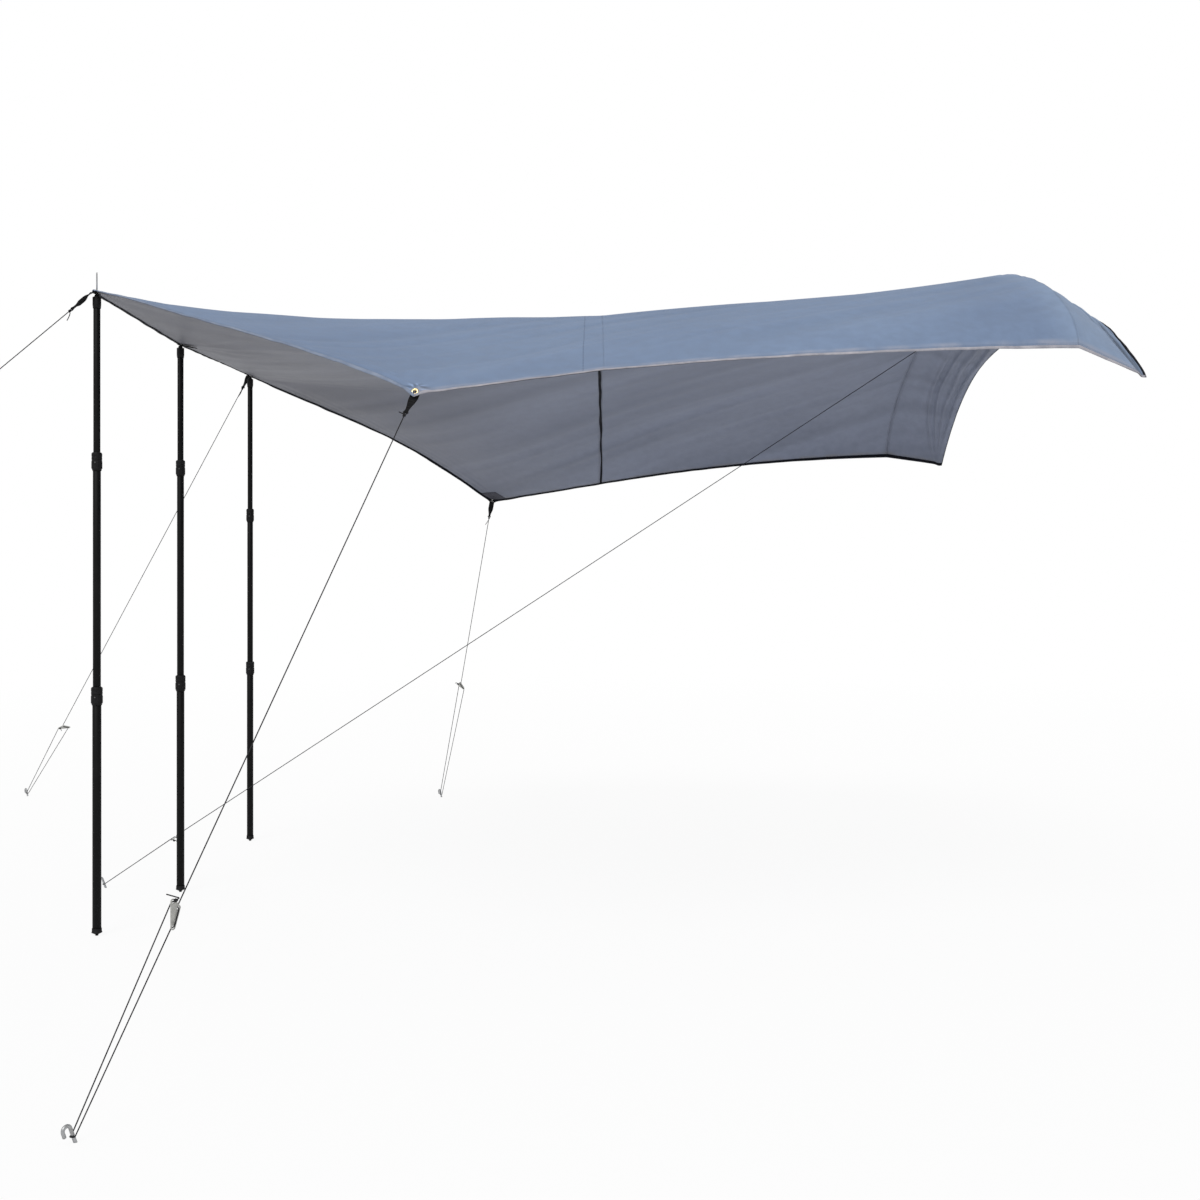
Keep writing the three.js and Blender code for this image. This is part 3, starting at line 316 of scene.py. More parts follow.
frames = {}
for guy, (*facts, way_round) in GUYS.items():
    at = frames[guy] = runner_frame(*facts)
    over = {
        (hole, face): at[hole] + at["side"] * HOLE_PASS * face
        for hole in ("apex", "first", "second") for face in (1, -1)
    }
    away = Vector((at["down"].x, at["down"].y, 0)).normalized()
    across = away.cross(UP).normalized() * way_round
    radius = (PEG_WIRE / 2) / math.cos(PEG_LEAN) + CLEARANCE + LINE / 2
    loop = [
        at["peg"] + across * radius * math.cos(turn) + away * radius * math.sin(turn)
        for turn in [math.pi * k / 8 for k in range(9)]
    ]
    slant = HOLE_PASS / HOLE_SLANT
    to_second = (at["second"] - at["apex"]).normalized()
    to_peg = (loop[0] - over["second", 1]).normalized()
    upper = eased(
        [
            at["start"], over["apex", 1] - at["down"] * slant, over["apex", -1] + to_second * slant,
            over["second", -1] - to_second * slant, over["second", 1] + to_peg * slant,
            over["second", 1] + to_peg * 0.010,
        ],
        LINE_BEND,
    )
    from_peg = (over["first", 1] - loop[-1]).normalized()
    behind = PLATE / 2 + CLEARANCE + KNOT
    knot_place = at["first"] - at["side"] * behind + from_peg * behind / HOLE_SLANT
    lower = [upper[-1], *loop]
    lower += eased([loop[-1], over["first", 1] - from_peg * slant, knot_place], LINE_BEND)[1:]
    # A runner slides along its line; the run above it and the bight below it are two separate pieces.
    top = cord_run(guy + "_guy_line", upper, LINE)
    bight = cord_run(guy + "_guy_bight", lower, LINE)
    for piece in (top, bight):
        piece.data.materials.append(cord_weave)
    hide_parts(guy + "_line")
    body = guy + "_adjuster"
    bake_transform(top)
    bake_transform(bight)
    at.update(upper=upper, lower=lower, top=top, bight=bight, knot=knot_place)

# The cloth: coated polyester, steel blue outside and grey inside, in three panels sewn edge to
# edge across the canopy. The first stands on the poles' corners and the second lies over the arch;
# the third is the hood, which is pulled down behind the arch into folds.
CORNERS = [
    Vector((-1.892, -1.775, -0.650)), Vector((-3.069, -0.894, -0.182)), Vector((-2.985, -0.212, -0.234)),
    Vector((-3.009, 0.893, -0.172)), Vector((-1.967, 1.853, -0.692)),
]
CROSS_SECTIONS = [
    ((-1.390, -1.659, -0.567), (-1.400, 1.705, -0.610), (-1.395, 0, -0.155), 1, (1 / 2, 1)),
    ((0, -1.371, -0.456), (0, 1.371, -0.504), (0, 0, 0.0005), 2 / 1.74, (1 / 1.74, 1 / 1.74)),
    ((0.241, -1.261, -0.522), (0.241, 1.261, -0.552), (0.241, 0, -0.160), 1, (1 / 3, 1)),
]
EYELETS = {
    "near": ((-1.88861, -1.76149, -0.64213), (0.0233, -0.6465, 0.7625)),
    "pole_1": ((-3.04410, -0.88625, -0.18794), (0.2319, 0.0653, 0.9705)),
    "pole_2": ((-2.97316, -0.21101, -0.23502), (0.1953, -0.0002, 0.9807)),
    "pole_3": ((-2.98635, 0.88657, -0.18045), (0.2700, 0.0391, 0.9621)),
    "far": ((-1.96290, 1.83942, -0.68460), (0.0370, 0.5891, 0.8072)),
}
# The near and the far line pull their corner down, so that it stands steeper than the cloth.
CORNER_PULLS = {"near": math.radians(30), "far": math.radians(30)}
PULLED_REACH = 0.026
pulled = {}
for corner, tilt in CORNER_PULLS.items():
    centre, normal = (Vector(x) for x in EYELETS[corner])
    out = square_to((frames[corner]["peg"] - centre).normalized(), normal)
    pulled[corner] = (centre, out, math.tan(tilt))
    EYELETS[corner] = (centre, normal * math.cos(tilt) + out * math.sin(tilt))
CLOTH = 0.001
HOOD_WAVES = 3
SIDES = [(b - a).length for a, b in zip(CORNERS, CORNERS[1:])]
SHARES = [sum(SIDES[:k]) / sum(SIDES) for k in range(5)]
CORNER_FLAT = 0.026 / sum(SIDES)
SECTION_STEPS = 400
# How far the outer sides of the front edge arch up, and how far the panels sag or rise between the
# lines that they're stretched from. The rear panel's hems rise unequally.
NEAR_ARCH = 0.036
FAR_ARCH = 0.056
FRONT_DIP = 0.014
FRONT_SAG = 0.056
REAR_RISES = (0.014, 0.027)
REAR_SAG = 0.016
HOOD_WAVE_HEIGHT = 0.006
# About how long a hem is, and how far the front panel runs along it.
HEM_RUN = 3.3
FRONT_RUN = 1.3
# About how much cloth lies between two of the cross sections, for the weave and the wrinkles.
PANEL_RUN = 1.35
# Each fold of the hood: how far back it lies, half its width and how far down it begins, as shares.
HOOD_FOLDS = ((0.46, 0.036, 0.20), (0.62, 0.034, 0.10), (0.77, 0.048, 0.02), (0.93, 0.034, 0.02))
HOOD_FOLD_DEPTH = 0.0115
BROAD_SWELL = 0.0050
SLANTED_HEIGHT = 0.0090
EDGE_FOLD_HEIGHT = 0.0042
EDGE_FOLD_STEP = 0.062
# The tight gathers round an eyelet: how high they stand and how far they reach.
GATHERS = {"near": (0.0034, 0.040), "far": (0.0012, 0.050)}
OTHER_GATHERS = (0.0020, 0.055)
WIDE_GATHER = 0.0046
HEM_PUCKER = 0.0021
SEAM_PUCKER = 0.0010
SEAM_RIDGE = 0.0004


def corner_span(v):
    """Which side of the front edge v is on, and how far along that side, as a share."""
    k = max(0, min(3, bisect.bisect_left(SHARES, v) - 1))
    return k, (v - SHARES[k]) / (SHARES[k + 1] - SHARES[k])


def front_edge(v):
    k, share = corner_span(v)
    point = CORNERS[k].lerp(CORNERS[k + 1], share)
    if k == 0:
        point.z += NEAR_ARCH * math.sqrt(max(1 - share, 0)) * (1 - max(1 - share, 0) ** 9)
    if k == 3:
        point.z += FAR_ARCH * math.sin(math.pi * max(share, 0) ** 1.3)
    return point


def section_point(section, t):
    near, far, crown, out_power, rise = section
    hem = near if t < 0.5 else far
    out = abs(math.sin((t - 0.5) * math.pi)) ** out_power
    height = (1 - out ** (1 / rise[0])) ** rise[1]
    x = crown[0] + (hem[0] - crown[0]) * out
    return Vector((x, hem[1] * out, hem[2] + (crown[2] - hem[2]) * height))


SECTION_LENGTHS = [
    lengths_along([section_point(section, k / SECTION_STEPS) for k in range(SECTION_STEPS + 1)])
    for section in CROSS_SECTIONS
]
ROW_LENGTHS = [sum(SIDES), *[lengths[-1] for lengths in SECTION_LENGTHS]]
known_rows = {}


def row_length(u):
    k = min(int(u), 2)
    return ROW_LENGTHS[k] + (ROW_LENGTHS[k + 1] - ROW_LENGTHS[k]) * (u - k)


def rows_at(v):
    v = min(max(v, 0.0), 1.0)
    if v not in known_rows:
        rows = [front_edge(v)]
        for section, lengths in zip(CROSS_SECTIONS, SECTION_LENGTHS):
            wanted = v * lengths[-1]
            k = min(bisect.bisect_right(lengths, wanted) - 1, SECTION_STEPS - 1)
            t = (k + (wanted - lengths[k]) / (lengths[k + 1] - lengths[k])) / SECTION_STEPS
            rows.append(section_point(section, min(t, 1.0)))
        known_rows[v] = rows
    return known_rows[v]


def cloth_form(u, v):
    """The cloth's main form. u is 0 at the front edge, 1 at the cross seam, 2 at the arch and 3 at
    the hood's rear edge, and v runs from the near hem to the far hem."""
    u, v = min(max(u, 0.0), 3.0), min(max(v, 0.0), 1.0)
    k = min(int(u), 2)
    rows = rows_at(v)
    point = rows[k].lerp(rows[k + 1], u - k)
    side = abs(2 * v - 1) ** 4
    if u < 1:
        share = corner_span(v)[1]
        point.z -= FRONT_DIP * math.sin(math.pi * u) * math.sin(math.pi * share) ** 2
        point.z -= (1 - side) * FRONT_SAG * math.sin(math.pi * u ** 0.8)
    elif u < 2:
        point.z += 4 * (u - 1) * (2 - u) * side * REAR_RISES[v >= 0.5]
        point.z -= (1 - side) * REAR_SAG * math.sin(math.pi * (u - 1) ** 1.8)
    else:
        wave = math.sin(math.pi * (u - 2)) * math.sin(2 * math.pi * HOOD_WAVES * (u - 2))
        point.z -= HOOD_WAVE_HEIGHT * wave * math.sin(2 * math.pi * v) ** 2
    return point


def cloth_base(u, v):
    """The main form, flat across each pole's corner."""
    for share in SHARES[1:4]:
        if u < 1 and abs(v - share) < CORNER_FLAT:
            ends = [cloth_form(u, share - CORNER_FLAT), cloth_form(u, share + CORNER_FLAT)]
            return ends[0].lerp(ends[1], (v - share + CORNER_FLAT) / (2 * CORNER_FLAT))
    return cloth_form(u, v)


def step(value, low, high):
    t = min(max((value - low) / (high - low), 0.0), 1.0)
    return t * t * (3 - 2 * t)


def hood_folds(u, v):
    """How deep a point lies in the hood's folds, from 0 to 1. They run together towards its tips."""
    side = abs(2 * v - 1)
    deepest = 0.0
    for k, (middle, width, begins) in enumerate(HOOD_FOLDS):
        crease = middle + (0.95 - middle) * side ** 6 + 0.03 * noise.noise(Vector((side * 4, k, 5 + 9 * v)))
        depth = step(side, begins, begins + 0.4) * (1 - 0.45 * step(side, 0.85, 1))
        deepest = max(deepest, depth * math.exp(-(((u - 2 - crease) / width) ** 2)))
    return deepest


def slanted_waves(side, v, p):
    """Long shallow waves, from -1 to 1, that climb towards the crown as they run to the arch."""
    along = 2 * math.sqrt(side * side + 0.01)
    half = 5 * step(v, 0.42, 0.58)
    long_waves = noise.noise(Vector((p.x * 0.8 + 7, along * 8.5 + p.x * 4.4, 2.3 + half)))
    short_waves = noise.noise(Vector((p.x * 1.5 + 1, along * 17 + p.x * 8.6, 8.4 + half)))
    return long_waves + 0.35 * short_waves


def gathers(p, k, name):
    """Where a point lies across the gathers round one eyelet, from -1 in a valley to 1 on a crest."""
    place = EYELETS[name][0]
    turn = math.atan2(p.y - place[1], p.x - place[0])
    return math.cos((9 if name in CORNER_PULLS else 17) * turn + k + 3 * noise.noise(p * 9))


def gather_shading_mask(p):
    """The gathers round the nearest eyelet, at their deepest 27 mm away from it, from 0 to 1: the mask for
    painted shade in their valleys and painted light on their crests.
    """
    eyes = [((p - Vector(place)).length, k, name) for k, (name, (place, _)) in enumerate(EYELETS.items())]
    eye, k, name = min(eyes)
    return 0.5 + 0.5 * gathers(p, k, name) * math.exp(-(((eye - 0.027) / 0.013) ** 2))


def wrinkles(u, v, p):
    """How far the cloth's folds and puckers stand off its main form, in metres."""
    eyes = [(p - Vector(place)).length for place, _ in EYELETS.values()]
    calm = step(min(eyes), 0.011, 0.028)
    still = step(min(eyes), 0.020, 0.260)
    side = abs(2 * v - 1)
    flank = step(side, 0.15, 0.7)
    hem = min(v, 1 - v) * HEM_RUN
    edge = min(u * FRONT_RUN, hem) if u < 1 else hem
    free = 0.12 + 0.88 * step(edge, 0.03, 0.30)
    total = BROAD_SWELL * noise.noise(Vector((p.x * 1.3, p.y * 1.3, 4.1)))
    total += (0.3 + 0.7 * flank) * SLANTED_HEIGHT * slanted_waves(side, v, p) * (1 if u < 2 else 0.4)
    total *= still * free
    # Cloth that is pulled between the front edge's outer corners lies in folds along that edge.
    if u < 0.3 and not SHARES[1] < v < SHARES[3]:
        share = v / SHARES[1] if v < SHARES[1] else (1 - v) / (1 - SHARES[3])
        gap = u * FRONT_RUN + 0.012 * noise.noise(Vector((share * 3, 1.7, 6.1)))
        folds = EDGE_FOLD_HEIGHT * math.sin(2 * math.pi * gap / EDGE_FOLD_STEP - 0.9)
        total += folds * math.exp(-gap / 0.085) * step(math.sin(math.pi * share), 0, 0.35)
    for k, (eye, (name, corner)) in enumerate(zip(eyes, EYELETS.items())):
        if eye > 1.5:
            continue
        turn = math.atan2(p.y - corner[0][1], p.x - corner[0][0])
        uneven = 0.7 + 0.5 * noise.noise(Vector((p.x * 3, p.y * 3, k)))
        height, reach = GATHERS.get(name, OTHER_GATHERS)
        tight = gathers(p, k, name) * math.exp(-((eye / reach) ** 2)) * height
        wide = math.cos(11 * turn + 2 * k + 2 * noise.noise(p * 1.5)) * math.exp(-eye / 0.42)
        total += uneven * (tight * calm + wide * WIDE_GATHER * still)
    for centre, out, slope in pulled.values():
        gap = p - centre
        total -= slope * gap.dot(out) * math.exp(-((gap.length / PULLED_REACH) ** 2))
    pucker = noise.noise(Vector((p.x * 16, p.y * 16, p.z * 16)))
    total += calm * HEM_PUCKER * pucker * math.exp(-edge / 0.05)
    seam = min(abs(u - 1), abs(u - 2) if u > 1.5 else 9) * PANEL_RUN
    total += SEAM_PUCKER * noise.noise(Vector((p.y * 22, p.z * 22, 3.3))) * math.exp(-seam / 0.035)
    total += SEAM_RIDGE * math.exp(-((abs(u - 1) * PANEL_RUN / 0.007) ** 2))
    if u > 2:
        total -= HOOD_FOLD_DEPTH * hood_folds(u, v)
    return total


def cloth_at(u, v, lift=0.0):
    """A point that lies lift above the wrinkled cloth's middle."""
    point = cloth_base(u, v)
    n = 0.004
    along_u = cloth_base(min(u + n, 3), v) - cloth_base(max(u - n, 0), v)
    along_v = cloth_base(u, min(v + n, 1)) - cloth_base(u, max(v - n, 0))
    normal = along_u.cross(along_v).normalized()
    return point + normal * (wrinkles(u, v, point) + lift)


def lines_over(length, closer, fine, coarse, ease=0.08):
    """Shares of a length at which its grid has lines, closer to each other by the given shares."""
    places, at = [0.0], 0.0
    while at < length - fine / 2:
        near = min(abs(at - share * length) for share in closer)
        at += fine + (coarse - fine) * min(1, near / ease)
        places.append(at)
    return [min(place / places[-1], 1.0) for place in places]


def sized_grid(name, across, along, placed, keys=()):
    """A smooth grid of cells. placed(i, j) gives the place of two lines' crossing, its UV in metres and
    its value under each of the keys."""
    bm = bmesh.new()
    bmesh.ops.create_grid(bm, x_segments=across - 1, y_segments=along - 1, size=0.5)
    layers = {key: bm.verts.layers.float.new(key) for key in keys}
    sizes = bm.loops.layers.uv.new("UVMap")
    flat = {}
    for vert in bm.verts:
        i, j = round((vert.co.x + 0.5) * (across - 1)), round((vert.co.y + 0.5) * (along - 1))
        vert.co, flat[vert], marks = placed(i, j)
        for key, value in zip(keys, marks):
            vert[layers[key]] = value
    for face in bm.faces:
        face.smooth = True
        for corner in face.loops:
            corner[sizes].uv = flat[corner.vert]
    return kept_mesh(name, bm)


def laid_panel(name, us, vs):
    """A panel of the cloth, with its distances from edges and seams, the places of its folds, which its
    material darkens with painted shade, and its waves and gathers, on which it paints light and shade.
    """
    def placed(i, j):
        u, v = us[i], vs[j]
        point = cloth_at(u, v)
        k = min(int(u), 2)
        rows = rows_at(v)
        span = (rows[k + 1] - rows[k]).length
        marks = (
            u * span if k == 0 else 1.0,
            min(v, 1 - v) * row_length(u),
            min(u - k if k else 1.0, (k + 1 - u) if k < 2 else 1.0) * span,
            (1 - u) * span if k == 0 else 1.0,
            hood_folds(u, v) if u > 2 else 0.0,
            0.5 + 0.5 * slanted_waves(abs(2 * v - 1), v, point),
            gather_shading_mask(point),
        )
        return point, ((v - 0.5) * row_length(u), u * PANEL_RUN), marks

    keys = ("front_gap", "hem_gap", "seam_gap", "row_gap", "fold", "wave", "ray")
    return sized_grid(name, len(us), len(vs), placed, keys)


def reworked(piece, work):
    """The piece with its mesh changed by work, which takes a bmesh."""
    bm = bmesh.new()
    bm.from_mesh(piece.data)
    work(bm)
    bm.to_mesh(piece.data)
    bm.free()


def cut_faces(piece, centres, radius):
    def cut(bm):
        gone = [f for f in bm.faces if any((f.calc_center_median() - c).length < radius for c in centres)]
        bmesh.ops.delete(bm, geom=gone, context="FACES")

    reworked(piece, cut)


def thickened(piece, thick, offset=0.0, inner=0):
    wall = piece.modifiers.new("thickness", "SOLIDIFY")
    wall.thickness = thick
    wall.offset = offset
    wall.material_offset = inner
    wall.material_offset_rim = inner
    return piece


# A plain weave over a UV in metres: the height of its crossing yarns.
WEAVE = Group("plain_weave", {"Vector": None, "Yarn": 0.0012}, ("Height",))
ways = WEAVE.node("SeparateXYZ", {0: WEAVE.ins["Vector"]}).outputs
yarns = [
    WEAVE.maths("SINE", WEAVE.maths("MULTIPLY", WEAVE.maths("DIVIDE", way, WEAVE.ins["Yarn"]), math.pi))
    for way in (ways["X"], ways["Y"])
]
WEAVE.feed(WEAVE.outs["Height"], WEAVE.maths("MULTIPLY", *yarns))

# A row of stitches at a distance from an edge: 1 on the thread and 0 off it.
STITCH_SHARE = 0.72
STITCH_SIZES = {"Gap": 0, "Row": 0.01, "Along": 0, "Pitch": 0.0045, "Thread": 0.0006}
STITCHES = Group("stitch_row", STITCH_SIZES, ("Mask",))
maths, ins = STITCHES.maths, STITCHES.ins
off_row = maths("ABSOLUTE", maths("SUBTRACT", ins["Gap"], ins["Row"]))
on_row = maths("LESS_THAN", off_row, ins["Thread"])
on_stitch = maths("LESS_THAN", maths("FRACT", maths("DIVIDE", ins["Along"], ins["Pitch"])), STITCH_SHARE)
STITCHES.feed(STITCHES.outs["Mask"], maths("MULTIPLY", on_row, on_stitch))


def sewn_cloth(name, ahead, behind, turns, thread, hem_tint, roughness, outside):
    """Coated cloth with its weave, soft creases and the stitch rows beside its edges and seams. Its
    low and high tone go over from those ahead to those behind between the two places in turns."""
    look = Look(name)
    soft, fine = look.noise(1.6, 4), look.noise(28, 3)

    def kept(attribute):
        return look.node("Attribute", attribute_name=attribute).outputs["Fac"]

    span = {"From Min": turns[0], "From Max": turns[1]}
    back = look.node("MapRange", span, interpolation_type="SMOOTHSTEP")
    look.feed(back.inputs["Value"], look.node("SeparateXYZ", {0: look.object}).outputs["X"])
    tones = [look.ramp(soft, (0.3, low), (0.7, high)) for low, high in (ahead, behind)]
    shade = look.mix(back.outputs[0], *tones)
    shade = look.mix(0.10, shade, look.ramp(fine, (0.35, 0.25), (0.65, 0.75)), "OVERLAY")
    # Handling leaves a paler, warmer band beside the hems, and painted shade darkens the hood's folds.
    band = look.ramp(kept("hem_gap"), (0.006, 0.0), (0.010, 1.0), (0.022, 0.9), (0.034, 0.0))
    patchy = look.ramp(look.noise(11, 3), (0.38, 0.12), (0.62, 0.75))
    shade = look.mix(look.mix(1.0, band, patchy, "MULTIPLY"), shade, hem_tint)
    painted_fold_shade = look.ramp(kept("fold"), (0.15, 0.0), (0.75, 0.86 if outside else 0.08))
    shade = look.mix(painted_fold_shade, shade, tuple(0.26 * tone for tone in ahead[0]))
    # Painted shade in the valleys of the cloth's long waves and of the gathers round the eyelets, and
    # painted light on their crests.
    wave_shade_swing = 0.015 if outside else 0.05
    painted_wave_shading = look.ramp(kept("wave"), (0.25, 0.5 - wave_shade_swing), (0.75, 0.5 + wave_shade_swing))
    painted_gather_shading = look.ramp(kept("ray"), (0.15, 0.30), (0.5, 0.5), (0.85, 0.82))
    shade = look.mix(1.0, look.mix(1.0, shade, painted_wave_shading, "OVERLAY"), painted_gather_shading, "OVERLAY")
    ways = look.node("SeparateXYZ", {0: look.uv}).outputs
    rows = [(gap, row, way) for gap, way in (("front_gap", "X"), ("hem_gap", "Y")) for row in (0.011, 0.015)]
    rows += [("row_gap", 0.058, "X")] if outside else [("seam_gap", 0.004, "X"), ("seam_gap", 0.009, "X")]
    threads = None
    for gap, row, way in rows:
        coarse = {"Pitch": 0.031, "Thread": 0.0016} if gap == "row_gap" else {}
        made = look.group(STITCHES, Gap=kept(gap), Row=row, Along=ways[way], **coarse)[0]
        threads = look.maths("MAXIMUM", threads, made) if threads else made
    look.put(Base_Color=look.mix(threads, shade, thread), Specular_IOR_Level=0.35)
    look.put(Roughness=look.ramp(fine, (0.3, roughness - 0.06), (0.7, roughness + 0.06)))
    woven = look.bump(look.group(WEAVE, Vector=look.uv, Yarn=0.0009)["Height"], 0.00012, 0.5)
    creased = look.bump(look.noise(9, 5, 0.62), 0.006, 0.35, woven)
    look.bump(threads, 0.0005, 0.6, creased)
    return look.material


blue_face = sewn_cloth(
    "steel_blue_cloth",
    ((0.168, 0.233, 0.362), (0.194, 0.266, 0.402)), ((0.232, 0.310, 0.450), (0.264, 0.350, 0.494)),
    (-0.12, 0.05), (0.11, 0.16, 0.26), (0.34, 0.36, 0.44), 0.62, True,
)
grey_face = sewn_cloth(
    "grey_coated_inside",
    ((0.161, 0.164, 0.188), (0.183, 0.186, 0.213)), ((0.212, 0.238, 0.318), (0.238, 0.266, 0.350)),
    (-3.0, -1.2), (0.13, 0.13, 0.15), (0.24, 0.24, 0.26), 0.52, False,
)

EYE_HOLE = 0.0068
columns = lines_over(4.4, SHARES, 0.0038, 0.0140, 0.07)
eye_places = [Vector(place) for place, _ in EYELETS.values()]
panels, panel_areas = {}, {}
# Each panel, the solid that it stands for, the section that it starts from, its run and its cells' sizes.
for name, node, first, run, fine, coarse in (
    ("front_cloth", "front_panel", 0, 1.25, 0.0042, 0.0140),
    ("rear_cloth", "rear_panel", 1, 1.42, 0.007, 0.0140),
    ("hood_cloth", "hood", 2, 0.30, 0.005, 0.006),
):
    us = [first + share for share in lines_over(run, (0, 1), fine, coarse, 0.07)]
    panel = panels[name] = laid_panel(name, us, columns)
    if first == 0:
        cut_faces(panel, eye_places, EYE_HOLE)
    panel.data.materials.append(blue_face)
    panel.data.materials.append(grey_face)
    thickened(panel, CLOTH, inner=1)
    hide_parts(node)
    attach(panel, "canopy")
    panel_areas[name] = sum(face.area for face in panel.data.polygons)

# Along the front edge and both hems the cloth is turned over into a narrow light roll on top, and a
# black polyester tape 16 mm wide is sewn under it. Tape covers the cross seam inside as well.
FRONT_ROLL = 0.0075
HEM_ROLL = 0.0085
ROLL_CLOTH = 0.0004
FRONT_RISE = 0.0005
TAPE = 0.0009
TAPE_WIDTH = 0.016
TAPE_INSET = 0.0012
TAPE_LEVEL = -0.0021
SEAM_TAPE_LEVEL = -0.0013
SEAM_STEPS = 360


def inward_share(inset, k, v):
    rows = rows_at(v)
    return inset / (rows[k + 1] - rows[k]).length


def inside_edge(edge, t, gap):
    """The cloth's own (u, v) at t along one of its edges and gap metres in from it."""
    if edge == "front":
        return inward_share(gap, 0, t), t
    if edge == "rear":
        return 3 - inward_share(gap, 2, t), t
    share = gap / row_length(t)
    return t, share if edge == "near" else 1 - share


def edge_place(edge, t, inset, lift):
    """A point beside one of the cloth's edges: inset metres in from it and lift above the cloth."""
    if inset > 0:
        return cloth_at(*inside_edge(edge, t, inset), lift)
    rim, inside = [cloth_at(*inside_edge(edge, t, gap), lift) for gap in (0, 0.006)]
    return rim + (inside - rim).normalized() * inset


def banded(name, rows, wide):
    """A band through rows of points, with its length along U and its width along V, in metres."""
    lengths = lengths_along([row[0] for row in rows])
    last = len(rows[0]) - 1

    def placed(i, j):
        return rows[i][j], (lengths[i], j / last * wide), ()

    return sized_grid(name, len(rows), last + 1, placed)


def taped(name, low, high, rib, rows_of_thread, thread):
    """Woven tape: ribs across it, rows of stitches along it and a little dust."""
    look = Look(name)
    worn = look.noise(30, 4)
    shade = look.ramp(worn, (0.35, low), (0.75, high))
    ways = look.node("SeparateXYZ", {0: look.uv}).outputs
    woven = look.bump(look.group(WEAVE, Vector=look.uv, Yarn=rib)["Height"], 0.0004, 0.7)
    for row in rows_of_thread:
        made = look.group(STITCHES, Gap=ways["Y"], Row=row, Along=ways["X"])[0]
        shade = look.mix(made, shade, thread)
        woven = look.bump(made, 0.0006, 0.7, woven)
    look.put(Base_Color=shade, Roughness=look.ramp(worn, (0.3, 0.66), (0.7, 0.86)), Specular_IOR_Level=0.15)
    return look.material


black_tape = taped(
    "black_edge_tape", (0.002, 0.003, 0.007), (0.005, 0.006, 0.012), 0.0011, (0.003, 0.013),
    (0.022, 0.023, 0.030),
)
hem_roll, front_roll = [
    taped(name, low, high, 0.0009, (0.0098,), thread) for name, low, high, thread in (
        ("light_hem_roll", (0.36, 0.36, 0.41), (0.58, 0.56, 0.60), (0.30, 0.27, 0.28)),
        ("blue_hem_roll", (0.22, 0.27, 0.38), (0.33, 0.38, 0.48), (0.20, 0.24, 0.32)),
    )
]

front_ts = lines_over(4.848, SHARES, 0.004, 0.012)
side_ts = [3 * share for share in lines_over(3.1, (0, 1), 0.004, 0.010)]
edging = {}
for edge, ts, wide, cover in (
    ("front", front_ts, FRONT_ROLL, front_roll), ("near", side_ts, HEM_ROLL, hem_roll),
    ("far", side_ts, HEM_ROLL, hem_roll), ("rear", front_ts, FRONT_ROLL, black_tape),
):
    rise = FRONT_RISE if edge == "front" else 0.0
    section = [(wide, 0.0009 + rise), (wide * 0.67, 0.0016 + rise), (wide * 0.27, 0.0016 + rise)]
    section += [(0.0001, 0.0012 + rise), (-0.0010, 0.0), (-0.0004, -0.0011), (0.0008, -0.0013)]
    rows = [[edge_place(edge, t, inset, lift) for inset, lift in section] for t in ts]
    roll = edging[edge + "_hem_roll"] = banded(edge + "_hem_roll", rows, 0.0125)
    roll.data.materials.append(cover)
    thickened(roll, ROLL_CLOTH)
    if edge == "rear":
        continue
    insets = [TAPE_INSET + (TAPE_WIDTH - TAPE_INSET) * k / 4 for k in range(5)]
    rows = [[edge_place(edge, t, inset, TAPE_LEVEL) for inset in insets] for t in ts]
    tape = edging[edge + "_edge_tape"] = banded(edge + "_edge_tape", rows, TAPE_WIDTH)
    tape.data.materials.append(black_tape)
    thickened(tape, TAPE)
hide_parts("edge_tape")

# As far as the first pole the front tape is hidden under the turned edge's own blue-grey cloth.
look = Look("blue_grey_turned_edge")
look.put(Base_Color=look.ramp(look.noise(30, 4), (0.3, (0.13, 0.14, 0.19)), (0.7, (0.18, 0.20, 0.27))))
look.put(Roughness=0.7, Specular_IOR_Level=0.2)
look.bump(look.group(WEAVE, Vector=look.uv, Yarn=0.0009)["Height"], 0.0002, 0.6)
front_tape = edging["front_edge_tape"].data
front_tape.materials.append(look.material)
for face in front_tape.polygons:
    if (face.center - CORNERS[1]).length < SIDES[0] and face.center.y < CORNERS[1].y - 0.06:
        face.material_index = 1

seam_rows = []
for k in range(SEAM_STEPS + 1):
    v = 0.004 + 0.992 * k / SEAM_STEPS
    wander = 0.0045 * noise.noise(Vector((v * 24, 1.5, 2))) + 0.012 * step(v, 0.60, 1.0) - 0.007
    half = 0.0052 * (1 + 0.8 * noise.noise(Vector((v * 17, 7.5, 4))))
    slack = SEAM_TAPE_LEVEL - 0.0022 * abs(noise.noise(Vector((v * 16, 3.5, 6))))
    across = []
    for j in range(5):
        gap = wander + half * (j / 2 - 1)
        u = 1 + inward_share(gap, 0 if gap < 0 else 1, v)
        across.append(cloth_at(u, v, slack + 0.0006 * (1 - (j / 2 - 1) ** 2)))
    seam_rows.append(across)
seam_tape = edging["cross_seam_cover"] = banded("cross_seam_cover", seam_rows, TAPE_WIDTH)
seam_tape.data.materials.append(black_tape)
thickened(seam_tape, TAPE)
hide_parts("cross_seam_tape")
for piece in edging.values():
    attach(piece, "canopy")

